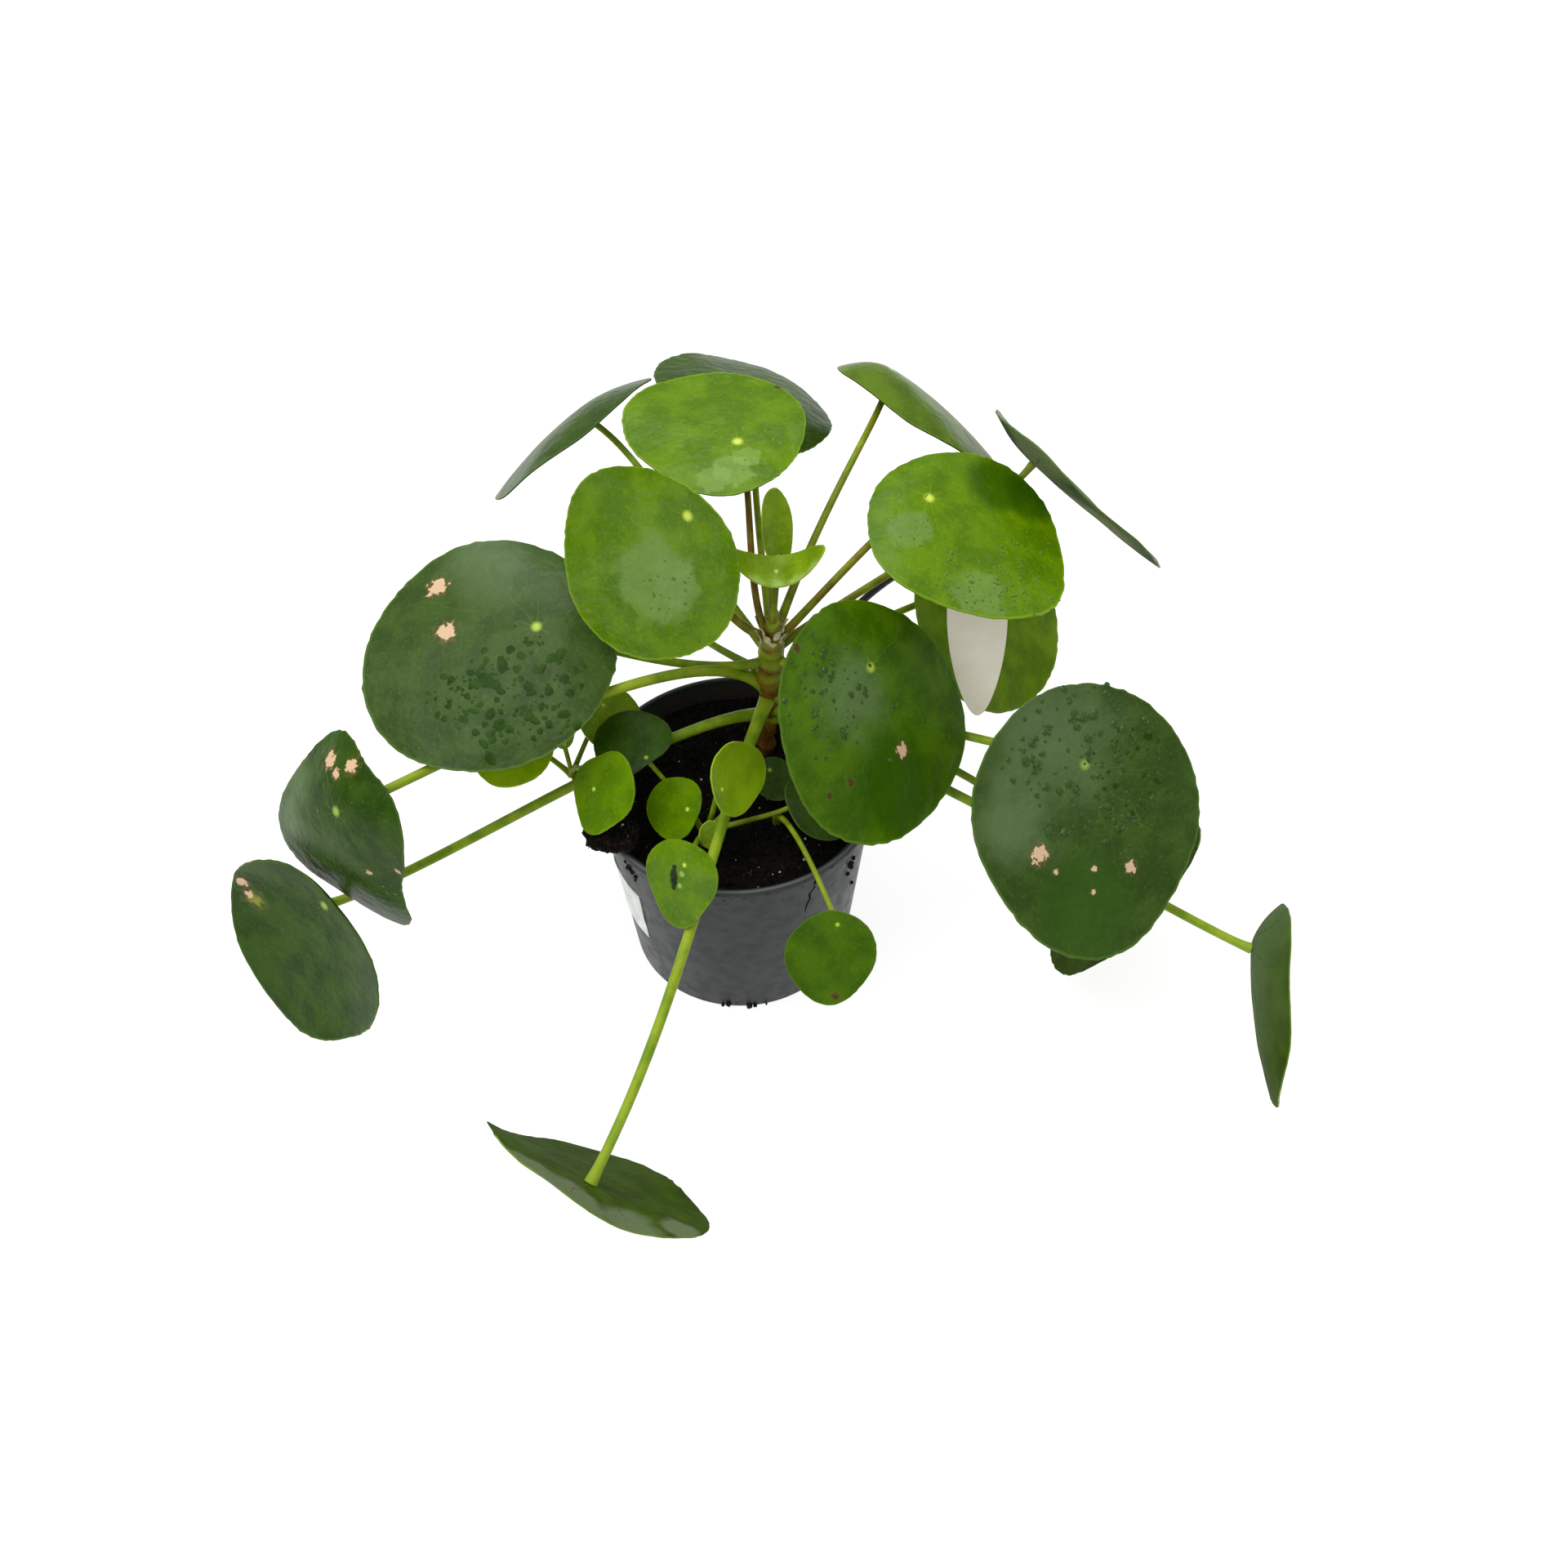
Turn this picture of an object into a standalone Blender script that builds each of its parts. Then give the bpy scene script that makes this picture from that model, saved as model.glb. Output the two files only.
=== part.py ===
"""Potted Chinese money plant: one leafy stem, two pups and a sprout in a 12 cm nursery pot.

Metres, +Z up. The origin is the middle of the pot's flat base, on the surface it stands on,
and -Y is the front. Places of leaves are written in millimetres and degrees and turned into
metres where they are used.
"""

import math
from collections import namedtuple

import bmesh
import bpy
from mathutils import Matrix, Vector, noise

MM = 0.001
GAP = 0.3 * MM

# The pot is a thin-walled, turned plastic nursery pot.
POT_HEIGHT = 96 * MM
POT_RIM_RADIUS = 60 * MM
POT_BASE_RADIUS = 47 * MM
POT_WALL = 1.4 * MM
POT_FLOOR = 1.8 * MM
POT_LIP_WIDTH = 2.4 * MM
POT_LIP_HEIGHT = 3 * MM
POT_BAND_HEIGHT = 12 * MM
POT_BAND_STEP = 0.6 * MM
POT_SEGMENTS = 64
DRAIN_HOLES = 8
DRAIN_RADIUS = 4 * MM
DRAIN_RING_RADIUS = 34 * MM

# The potting soil stands a finger's width below the rim.
SOIL_LEVEL = 87 * MM
SOIL_BUMP = 1.6 * MM
SOIL_BUMP_SPACING = 17 * MM
SOIL_RINGS = 4

# The main stem stands right of and behind the middle, and leans slightly forward.
STEM_FOOT = Vector((13, 22, 70)) * MM
STEM_SOIL_TOP = Vector((13, 22, 90)) * MM
STEM_TOP = Vector((17, 19, 168)) * MM
STEM_FOOT_RADIUS = 3.6 * MM
STEM_CROWN_RADIUS = 5.6 * MM
STEM_TOP_RADIUS = 4.4 * MM
STEM_RING_SHARES = (0.38, 0.5, 0.85, 1.0)

# Petioles are tubes that swell at the foot, and blades are thin webs with a waved margin.
PETIOLE_SEGMENTS = 9
FOOT_SWELL = 1.2
TIP_TAPER = 0.85
TUBE_BEVEL_RESOLUTION = 2
STAKE_SEGMENTS = 10
BLADE_THICKNESS = 0.8 * MM
BLADE_RINGS = (0.42, 0.76, 1.0)
BLADE_SPOKES = 32
SMALL_BLADE_RINGS = (0.55, 1.0)
SMALL_BLADE_SPOKES = 22
SMALL_BLADE_LENGTH = 50
MARGIN_WAVE = 0.008
MARGIN_WAVES = 5

# Each pup is a small leafy stem from the same roots, and the sprout is a single leaf.
FRONT_PUP_STEM = [Vector(point) * MM for point in ((-14, -26, 74), (-14, -26, 89), (-14, -29, 97))]
LEFT_PUP_STEM = [Vector(point) * MM for point in (
    (-47, 3, 74), (-47, 3, 88), (-51, 3, 97), (-60, 3, 100), (-68, 3, 100))]
PUP_STEM_RADIUS = 2.4 * MM
SPROUT_FOOT = (16, -16, 76)
SPROUT_SOIL_TOP = (16, -16, 90)

# A blank card hangs in front of the right-hand leaves, held by a slim stake in the soil.
CARD_TOP = Vector((101, 56, 190)) * MM
CARD_TIP = Vector((102, 20, 108)) * MM
CARD_WIDTH = 25 * MM
CARD_TAPER = 0.22
CARD_THICKNESS = 0.6 * MM
STAKE_RADIUS = 1.4 * MM
STAKE_FOOT = Vector((-4, 46, 64)) * MM
STAKE_SOIL_TOP = Vector((12, 46, 88)) * MM
STAKE_REACH_DOWN = 0.25
STAKE_REACH_ASIDE = 0.28
STAKE_BEND = [Vector(point) * MM for point in ((30, 46, 112), (68, 72, 162))]

# A blank paper sticker lies on the wall at the left, and a clump of soil on the rim.
STICKER_FROM, STICKER_TO = 190, 218
STICKER_FOOT = 32 * MM
STICKER_TOP = 63 * MM
STICKER_THICKNESS = 0.4 * MM
STICKER_COLUMNS = 8
CLUMP_CENTRE = Vector((-50.5, -30.5, 100.2)) * MM
CLUMP_RADII = Vector((11, 8.5, 3.6)) * MM
CLUMP_LUMP_HEIGHT = 0.16
CLUMP_LUMPS_ACROSS = 1.7

COLOURS = {
    "pot_plastic": ((0.060, 0.068, 0.074), 0.45),
    "potting_soil": ((0.012, 0.009, 0.007), 0.95),
    "dark_leaf": ((0.040, 0.100, 0.035), 0.40),
    "bright_leaf": ((0.100, 0.260, 0.015), 0.35),
    "young_leaf": ((0.180, 0.330, 0.030), 0.40),
    "stem_green": ((0.200, 0.260, 0.050), 0.50),
    "card": ((0.680, 0.600, 0.520), 0.60),
    "stake_plastic": ((0.012, 0.012, 0.013), 0.40),
    "sticker_paper": ((0.800, 0.820, 0.800), 0.50),
}

Leaf = namedtuple(
    "Leaf",
    "hub facing root length width hub_share turn cup fold fold_turn three four bend rise reach "
    "radius colour",
)


def leaf(hub, facing, root, length, width=0.95, hub_share=0.28, turn=0, cup=0.0, fold=0.0,
         fold_turn=0, three=(0.0, 0), four=(0.0, 0), bend=None, rise=30, reach=(0.4, 0.3),
         radius=1.7, colour="dark_leaf"):
    """Describe one round leaf with its petiole under the blade.

    hub: where the petiole meets the blade (mm). facing: azimuth and elevation of the upper
    face (degrees). root: where the petiole leaves its stem (mm). length: blade length through
    its tip (mm), with width as a share of it. hub_share: hub to nearer end, as a share of the
    length. turn: turn of the tip in the blade's plane, from straight downhill (degrees). cup
    and fold: how far the margin stands up, as a share of the length, all round and on both
    sides of the fold line. three and four: how far the outline leans to three and to four
    corners, as a share of its radius and an angle. bend: the two points that the petiole
    leans towards on its way (mm). Without them it leaves at the rise (degrees) and ends square
    to the blade, keeping each direction for its reach, a share of the run. radius: the
    petiole's, at its middle (mm).
    """
    return Leaf(hub, facing, root, length, width, hub_share, turn, cup, fold, fold_turn, three,
                four, bend, rise, reach, radius, colour)


def on_stem(height):
    """Return the point of the main stem's centre line at a height, all in millimetres."""
    share = (height * MM - STEM_SOIL_TOP.z) / (STEM_TOP.z - STEM_SOIL_TOP.z)
    return tuple(STEM_SOIL_TOP.lerp(STEM_TOP, share) / MM)


FRONT_CROWN = tuple(FRONT_PUP_STEM[-1] / MM)
LEFT_CROWN = tuple(LEFT_PUP_STEM[-1] / MM)

# Leaves of the main stem, named by where they stand as seen from the front.
MAIN_LEAVES = {
    "leaf_left_large": leaf(
        (-77, 25, 165), (248, 69), on_stem(146), 104, width=0.98, turn=-52, cup=-0.08,
        three=(0.021, 43), bend=((-14, 15, 140), (-69, 37, 147)), radius=1.9),
    "leaf_centre_left": leaf(
        (-14, 17, 228), (239, 20), on_stem(158), 80, width=0.975, hub_share=0.13, turn=-29,
        fold=-0.03, three=(0.026, 55), four=(0.02, 346), bend=((-18, 24, 172), (-6, 35, 214)),
        colour="bright_leaf"),
    "leaf_centre_top": leaf(
        (6, 68, 220), (266, 89), on_stem(158), 75, width=0.93, hub_share=0.335, turn=-133,
        cup=-0.016, three=(0.052, 64), bend=((5, 17, 178), (13, 67, 202)), radius=1.5,
        colour="bright_leaf"),
    "leaf_back_top": leaf(
        (15, 114, 200), (33, 67), on_stem(156), 81, width=0.94, hub_share=0.33, turn=69,
        cup=-0.07, three=(0.026, 159), four=(0.019, 306), bend=((13, 45, 191), (11, 110, 181)),
        radius=1.5),
    "leaf_back_left": leaf(
        (-60, 115, 200), (141, 42), on_stem(149), 79, width=1.06, hub_share=0.32, turn=1,
        cup=-0.104, three=(0.02, 310), bend=((-17, 49, 181), (-32, 108, 186)), radius=1.6),
    "leaf_back_right": leaf(
        (72, 131, 203), (36, 47), on_stem(154), 77, hub_share=0.235, turn=-41, cup=-0.136,
        three=(0.032, 187), four=(0.021, 60), bend=((40, 58, 203), (71, 124, 188)), radius=1.6),
    "leaf_right_bright": leaf(
        (81, 53, 200), (320, 70), on_stem(154), 84, width=1.0, hub_share=0.235, turn=-1,
        cup=-0.074, fold=0.08, fold_turn=33, three=(0.018, 5), four=(0.024, 6),
        bend=((41, 31, 176), (70, 62, 188)), colour="bright_leaf"),
    "leaf_far_right": leaf(
        (128, 89, 185), (29, 37), on_stem(151), 95, hub_share=0.27, turn=-37, cup=0.053,
        bend=((56, 41, 168), (105, 74, 163))),
    "leaf_behind_label": leaf(
        (98, 74, 130), (326, 39), on_stem(137), 90, width=0.985, turn=22,
        bend=((50, 38, 144), (87, 83, 115))),
    "leaf_front_right": leaf(
        (54, -5, 165), (317, 40), on_stem(146), 96, turn=-28, cup=-0.035, three=(0.029, 260),
        rise=20),
    "leaf_right_large": leaf(
        (136, -38, 140), (298, 44), on_stem(125), 107, width=0.92, hub_share=0.305, turn=-20,
        cup=0.012, three=(0.027, 3), four=(0.011, 11), bend=((63, 5, 126), (127, -5, 110)),
        radius=2.0),
    "leaf_under_right": leaf(
        (165, -43, 56), (332, -35), on_stem(110), 92, turn=41, rise=22, radius=1.8),
    "leaf_low_right": leaf(
        (204, -81, 73), (351, 3), on_stem(118), 82, hub_share=0.24, turn=-66, cup=0.132,
        three=(0.035, 50), four=(0.028, 188), bend=((92, -20, 109), (190, -76, 74)),
        radius=2.1),
    "leaf_low_left": leaf(
        (-156, -40, 133), (222, 22), on_stem(127), 85, width=0.83, hub_share=0.305, turn=-9,
        cup=-0.065, fold=-0.18, fold_turn=-50, three=(0.045, 100), four=(0.1, 156),
        bend=((-10, 16, 180), (-132, -8, 110)), radius=2.3),
    "leaf_lowest_left": leaf(
        (-171, -38, 72), (231, 11), on_stem(112), 94, width=0.9, hub_share=0.225, turn=-13,
        cup=0.09, three=(0.028, 0), four=(0.014, 14), bend=((-18, 1, 144), (-133, -8, 51)),
        radius=2.3),
    "leaf_front_low": leaf(
        (-61, -170, 64), (233, -35), on_stem(124), 95, width=0.94, hub_share=0.335, turn=-22,
        cup=0.04, fold=-0.087, fold_turn=-34, three=(0.041, 328), four=(0.051, 36),
        bend=((-12, -42, 112), (-22, -117, 107)), radius=2.4),
    "leaf_hidden_left": leaf(
        (-32, 88, 132), (150, 50), on_stem(137), 44, bend=((-14, 37, 143), (-28, 78, 114)),
        radius=1.6),
    "young_leaf_cupped": leaf(
        (19, 26, 189), (270, 78), on_stem(164), 15, width=2.5, hub_share=0.45, cup=0.08,
        fold=0.16, rise=80, radius=1.6, colour="young_leaf"),
    "young_leaf_upright": leaf(
        (20, 37, 187), (300, 22), on_stem(162), 33, width=0.42, hub_share=0.13, turn=172,
        cup=0.05, fold=0.1, rise=75, radius=1.3, colour="young_leaf"),
}

FRONT_PUP_LEAVES = {
    "front_pup_leaf_front": leaf(
        (-21, -71, 129), (229, 29), FRONT_CROWN, 35, width=0.92, hub_share=0.29, turn=2,
        cup=-0.025, three=(0.08, 42), four=(0.025, 72), bend=((-20, -38, 101), (-18, -60, 114)), radius=1.2,
        colour="bright_leaf"),
    "front_pup_leaf_left": leaf(
        (-20, -26, 109), (218, 49), FRONT_CROWN, 26, width=1.0, hub_share=0.245, turn=-61,
        three=(0.047, 320), four=(0.012, 128), rise=50, radius=1.1, colour="bright_leaf"),
    "front_pup_leaf_top": leaf(
        (-6, -36, 132), (324, 28), FRONT_CROWN, 31, width=0.925, hub_share=0.22, turn=84,
        cup=0.055, three=(0.053, 323), four=(0.011, 262), bend=((-9, -28, 108), (-9, -30, 122)),
        radius=1.2, colour="bright_leaf"),
    "front_pup_leaf_back": leaf(
        (-36, -8, 121), (245, 77), FRONT_CROWN, 29, width=1.17, hub_share=0.148, turn=-115,
        cup=-0.01, three=(0.088, 342), four=(0.029, 123), bend=((-20, -12, 97), (-32, -6, 108)),
        radius=1.1),
    "front_pup_leaf_right": leaf(
        (26, -19, 104), (355, 56), FRONT_CROWN, 32, width=0.9, hub_share=0.26, turn=-16,
        cup=0.014, three=(0.047, 87), rise=12, radius=1.2),
    "front_pup_leaf_shaded": leaf(
        (14, 2, 99), (300, 70), FRONT_CROWN, 20, rise=10, radius=1.0),
    "front_pup_bud": leaf(
        (-11, -37, 99), (270, 20), FRONT_CROWN, 13, width=0.75, hub_share=0.12, turn=180,
        fold=0.2, rise=20, radius=0.9, colour="young_leaf"),
}

LEFT_PUP_LEAVES = {
    "left_pup_leaf_front": leaf(
        (-57, -21, 118), (209, 44), LEFT_CROWN, 33, width=1.0, hub_share=0.335, turn=119,
        three=(0.032, 94), four=(0.061, 325), bend=((-66, 4, 112), (-54, -9, 106)), radius=1.2,
        colour="bright_leaf"),
    "left_pup_leaf_left": leaf(
        (-88, 20, 108), (240, 75), LEFT_CROWN, 36, rise=20, radius=1.2, colour="young_leaf"),
    "left_pup_leaf_back": leaf(
        (-54, 26, 117), (300, 60), LEFT_CROWN, 28, rise=40, radius=1.1, colour="young_leaf"),
    "left_pup_bud": leaf(
        (-70, 8, 114), (285, 15), LEFT_CROWN, 20, width=0.5, hub_share=0.12, turn=180,
        fold=0.2, rise=85, reach=(0.4, 0.35), radius=1.0, colour="young_leaf"),
}

SPROUT_LEAF = leaf(
    (37, -82, 102), (275, 34), SPROUT_SOIL_TOP, 38, width=0.935, hub_share=0.147, turn=-16,
    cup=0.009, three=(0.03, 36), four=(0.018, 43), rise=52, reach=(0.45, 0.2), radius=1.2)


def clear_scene():
    for old in list(bpy.data.objects):
        bpy.data.objects.remove(old, do_unlink=True)


def new_collection(name):
    collection = bpy.data.collections.new(name)
    bpy.context.scene.collection.children.link(collection)
    return collection


def make_materials():
    materials = {}
    for name, (colour, roughness) in COLOURS.items():
        material = bpy.data.materials.new(name)
        material.use_nodes = True
        principled = material.node_tree.nodes["Principled BSDF"]
        principled.inputs["Base Color"].default_value = (*colour, 1.0)
        principled.inputs["Roughness"].default_value = roughness
        principled.inputs["Metallic"].default_value = 0.0
        materials[name] = material
    return materials


def add_object(name, data, collection, material=None):
    obj = bpy.data.objects.new(name, data)
    collection.objects.link(obj)
    if material is not None:
        obj.data.materials.append(material)
    return obj


def mesh_from_bmesh(name, shape):
    shape.normal_update()
    bmesh.ops.recalc_face_normals(shape, faces=shape.faces)
    mesh = bpy.data.meshes.new(name)
    shape.to_mesh(mesh)
    shape.free()
    return mesh


def turned(name, profile, collection, material):
    """Turn a closed profile, listed as (radius, height) down its outer side, about Z."""
    mesh = bpy.data.meshes.new(name)
    points = [(radius, 0.0, height) for radius, height in profile]
    edges = [(i, (i + 1) % len(points)) for i in range(len(points))]
    on_axis = [i for i, (radius, _) in enumerate(profile) if radius == 0.0]
    if len(on_axis) == 2:
        edges = [edge for edge in edges if set(edge) != set(on_axis)]
    mesh.from_pydata(points, edges, [])
    obj = add_object(name, mesh, collection, material)
    screw = obj.modifiers.new("Turn", "SCREW")
    screw.steps = POT_SEGMENTS
    screw.render_steps = POT_SEGMENTS
    screw.use_merge_vertices = True
    screw.merge_threshold = 0.00001
    screw.use_normal_calculate = True
    return obj


def evaluated_mesh(obj):
    depsgraph = bpy.context.evaluated_depsgraph_get()
    return bpy.data.meshes.new_from_object(obj.evaluated_get(depsgraph))


def bezier(points, share):
    """Return the point at a share of the way along a cubic Bezier curve."""
    rest = 1.0 - share
    weights = (rest ** 3, 3 * rest ** 2 * share, 3 * rest * share ** 2, share ** 3)
    return sum((point * weight for point, weight in zip(points, weights)), Vector())


def tube(name, points, radii, collection, material=None):
    """Sweep a round tube along points, and return it as a closed mesh object."""
    curve = bpy.data.curves.new(name, "CURVE")
    curve.dimensions = "3D"
    curve.bevel_depth = 1.0
    curve.bevel_resolution = TUBE_BEVEL_RESOLUTION
    curve.use_fill_caps = True
    spline = curve.splines.new("POLY")
    spline.points.add(len(points) - 1)
    for knot, point, radius in zip(spline.points, points, radii):
        knot.co = (*point, 1.0)
        knot.radius = radius
    sweep = add_object(name + "_sweep", curve, collection)
    mesh = evaluated_mesh(sweep)
    shape = bmesh.new()
    shape.from_mesh(mesh)
    bmesh.ops.remove_doubles(shape, verts=shape.verts, dist=0.01 * MM)
    bpy.data.objects.remove(sweep, do_unlink=True)
    bpy.data.meshes.remove(mesh)
    return add_object(name, mesh_from_bmesh(name, shape), collection, material)


def joined(name, pieces, collection, material):
    """Join overlapping pieces into one body with one Boolean union, and remove them."""
    group = new_collection(name + "_pieces")
    first, *others = pieces
    for piece in others:
        for user in list(piece.users_collection):
            user.objects.unlink(piece)
        group.objects.link(piece)
    union = first.modifiers.new("Join", "BOOLEAN")
    union.operation = "UNION"
    union.operand_type = "COLLECTION"
    union.collection = group
    union.solver = "EXACT"
    mesh = evaluated_mesh(first)
    for piece in pieces:
        bpy.data.objects.remove(piece, do_unlink=True)
    bpy.data.collections.remove(group)
    mesh.name = name
    mesh.materials.clear()
    return add_object(name, mesh, collection, material)


def blade_axes(spec):
    """Return the unit vectors of a blade: out of its upper face, to its tip, and across."""
    azimuth, elevation = (math.radians(angle) for angle in spec.facing)
    level = Vector((math.cos(azimuth), math.sin(azimuth), 0.0))
    up = Vector((0.0, 0.0, 1.0))
    normal = level * math.cos(elevation) + up * math.sin(elevation)
    downhill = level * math.sin(elevation) - up * math.cos(elevation)
    tip = Matrix.Rotation(math.radians(spec.turn), 3, normal) @ downhill
    return normal, tip, normal.cross(tip)


def blade_point(spec, share, angle):
    """Return the point of a blade's middle surface at a share of the way out to its margin."""
    normal, tip, across = blade_axes(spec)
    half_length = spec.length * MM / 2
    half_width = half_length * spec.width
    centre = half_length * (1 - 2 * spec.hub_share)
    corners = 1.0
    for count, (lean, turn) in ((3, spec.three), (4, spec.four)):
        corners += lean * math.cos(count * angle - math.radians(turn))
    along = (centre + half_length * corners * math.cos(angle)) * share
    aside = half_width * corners * math.sin(angle) * share
    fold_angle = math.radians(spec.fold_turn)
    off_fold = (aside * math.cos(fold_angle) - along * math.sin(fold_angle)) / half_length
    wave = MARGIN_WAVE * share ** 3 * math.sin(MARGIN_WAVES * angle + spec.length)
    height = (spec.cup * share ** 2 + spec.fold * off_fold ** 2 + wave) * spec.length * MM
    hub = Vector(spec.hub) * MM
    return hub + tip * along + across * aside + normal * height


def make_blade(name, spec, collection, material, small=False):
    """Spin a spoke into a round web, lay it on the blade's surface and thicken it."""
    rings = SMALL_BLADE_RINGS if small else BLADE_RINGS
    spokes = SMALL_BLADE_SPOKES if small else BLADE_SPOKES
    shape = bmesh.new()
    spoke = [shape.verts.new((share, 0.0, 0.0)) for share in (0.0, *rings)]
    chain = [shape.edges.new(pair) for pair in zip(spoke, spoke[1:])]
    bmesh.ops.spin(shape, geom=spoke + chain, cent=(0, 0, 0), axis=(0, 0, 1), steps=spokes,
                   angle=2 * math.pi, use_merge=True)
    bmesh.ops.remove_doubles(shape, verts=shape.verts, dist=0.0001)
    bmesh.ops.triangulate(shape, faces=shape.faces)
    for vert in shape.verts:
        angle = math.atan2(vert.co.y, vert.co.x)
        vert.co = blade_point(spec, vert.co.length, angle)
    blade = add_object(name, mesh_from_bmesh(name, shape), collection, material)
    thicken = blade.modifiers.new("Thickness", "SOLIDIFY")
    thicken.thickness = BLADE_THICKNESS
    thicken.offset = 0.0
    return blade


def petiole_points(spec):
    """Return points along a petiole, from inside its stem to just under the blade's hub."""
    normal = blade_axes(spec)[0]
    root = Vector(spec.root) * MM
    hub = Vector(spec.hub) * MM
    if spec.bend is not None:
        bend = [Vector(point) * MM for point in spec.bend]
    else:
        run = hub - root
        level = Vector((run.x, run.y, 0.0)).normalized()
        rise = math.radians(spec.rise)
        leaving = level * math.cos(rise) + Vector((0, 0, 1)) * math.sin(rise)
        first, last = spec.reach
        bend = [root + leaving * run.length * first, hub - normal * run.length * last]
    lean = (hub - bend[1]).angle(normal)
    sag = 2 * BLADE_RINGS[0] * max(0.0, -spec.cup - spec.fold)
    end_radius = spec.radius * TIP_TAPER * MM
    clearance = 2 * GAP + end_radius * (math.sin(lean) + sag)
    seat = hub - normal * (BLADE_THICKNESS / 2 + clearance)
    handles = (root, *bend, seat)
    return [bezier(handles, i / PETIOLE_SEGMENTS) for i in range(PETIOLE_SEGMENTS + 1)]


def petiole_radii(spec, count):
    shares = [i / (count - 1) for i in range(count)]
    return [spec.radius * MM * (FOOT_SWELL + (TIP_TAPER - FOOT_SWELL) * share)
            for share in shares]


def make_petiole(name, spec, collection):
    points = petiole_points(spec)
    return tube(name, points, petiole_radii(spec, len(points)), collection)


def wall_radius(height):
    """Return the pot's outer radius at a height, below its band."""
    slope = (POT_RIM_RADIUS - POT_LIP_WIDTH - POT_BASE_RADIUS) / POT_HEIGHT
    return POT_BASE_RADIUS + slope * height


def make_pot(collection, cutters, material):
    rim, base = POT_RIM_RADIUS, POT_BASE_RADIUS
    lip_foot = POT_HEIGHT - POT_LIP_HEIGHT
    band_foot = POT_HEIGHT - POT_BAND_HEIGHT
    profile = [
        (rim, POT_HEIGHT),
        (rim, lip_foot),
        (wall_radius(lip_foot) + POT_BAND_STEP, lip_foot - POT_BAND_STEP),
        (wall_radius(band_foot) + POT_BAND_STEP, band_foot),
        (wall_radius(band_foot), band_foot - POT_BAND_STEP),
        (base, 0.0),
        (0.0, 0.0),
        (0.0, POT_FLOOR),
        (wall_radius(POT_FLOOR) - POT_WALL, POT_FLOOR),
        (wall_radius(lip_foot) - POT_WALL, lip_foot),
        (rim - POT_LIP_WIDTH, POT_HEIGHT),
    ]
    pot = turned("pot", profile, collection, material)
    for i in range(DRAIN_HOLES):
        angle = 2 * math.pi * (i + 0.5) / DRAIN_HOLES
        foot = Vector((math.cos(angle), math.sin(angle), 0.0)) * DRAIN_RING_RADIUS
        below = foot - Vector((0.0, 0.0, POT_FLOOR))
        above = foot + Vector((0.0, 0.0, 2 * POT_FLOOR))
        add_cutter(f"drain_hole_{i + 1}", below, above, DRAIN_RADIUS, cutters)
    cut_with(pot, cutters)


def add_cutter(name, start, end, radius, collection, sides=16):
    """Add a round cutter that runs from one point to another."""
    shape = bmesh.new()
    run = end - start
    bmesh.ops.create_cone(shape, cap_ends=True, segments=sides, radius1=radius, radius2=radius,
                          depth=run.length)
    cutter = add_object(name, mesh_from_bmesh(name, shape), collection)
    cutter.location = (start + end) / 2
    cutter.rotation_euler = run.to_track_quat("Z", "Y").to_euler()
    cutter.hide_render = True
    cutter.display_type = "WIRE"


def cut_with(obj, collection):
    cut = obj.modifiers.new("Cut", "BOOLEAN")
    cut.operation = "DIFFERENCE"
    cut.operand_type = "COLLECTION"
    cut.collection = collection
    cut.solver = "EXACT"


def make_soil(collection, cutters, material):
    """Fill the pot with soil, bump its top and bore a plain hole for each stem."""
    seat = POT_WALL + GAP
    top = wall_radius(SOIL_LEVEL) - seat
    foot = POT_FLOOR + GAP
    profile = [(top, SOIL_LEVEL), (wall_radius(foot) - seat, foot), (0.0, foot)]
    profile += [(top * ring / SOIL_RINGS, SOIL_LEVEL) for ring in range(SOIL_RINGS)]
    soil = turned("soil", profile, collection, material)
    mesh = evaluated_mesh(soil)
    soil.modifiers.clear()
    soil.data = mesh
    for vert in mesh.vertices:
        radius = math.hypot(vert.co.x, vert.co.y)
        if vert.co.z > SOIL_LEVEL - GAP and radius < top - GAP:
            vert.co.z += SOIL_BUMP * noise.noise(vert.co / SOIL_BUMP_SPACING)
    stems = {
        "main_stem_hole": (STEM_FOOT, STEM_SOIL_TOP, STEM_FOOT_RADIUS),
        "front_pup_hole": (*FRONT_PUP_STEM[:2], PUP_STEM_RADIUS),
        "left_pup_hole": (*LEFT_PUP_STEM[:2], PUP_STEM_RADIUS),
        "sprout_hole": (Vector(SPROUT_FOOT) * MM, Vector(SPROUT_SOIL_TOP) * MM,
                        SPROUT_LEAF.radius * FOOT_SWELL * MM),
        "stake_hole": (STAKE_FOOT, STAKE_SOIL_TOP, STAKE_RADIUS),
    }
    for name, (start, end, radius) in stems.items():
        along = (end - start).normalized()
        add_cutter(name, start - along * GAP, end + along * SOIL_BUMP * 3, radius + GAP, cutters)
    cut_with(soil, cutters)


def make_clump(collection, material):
    """Lay a flattened lump of soil on the rim at the left."""
    shape = bmesh.new()
    bmesh.ops.create_icosphere(shape, subdivisions=2, radius=1.0)
    for vert in shape.verts:
        lump = 1.0 + CLUMP_LUMP_HEIGHT * noise.noise(vert.co * CLUMP_LUMPS_ACROSS)
        vert.co = CLUMP_CENTRE + Vector(a * b for a, b in zip(vert.co * lump, CLUMP_RADII))
        vert.co.z = max(vert.co.z, POT_HEIGHT + GAP)
    add_object("soil_clump", mesh_from_bmesh("soil_clump", shape), collection, material)


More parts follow.
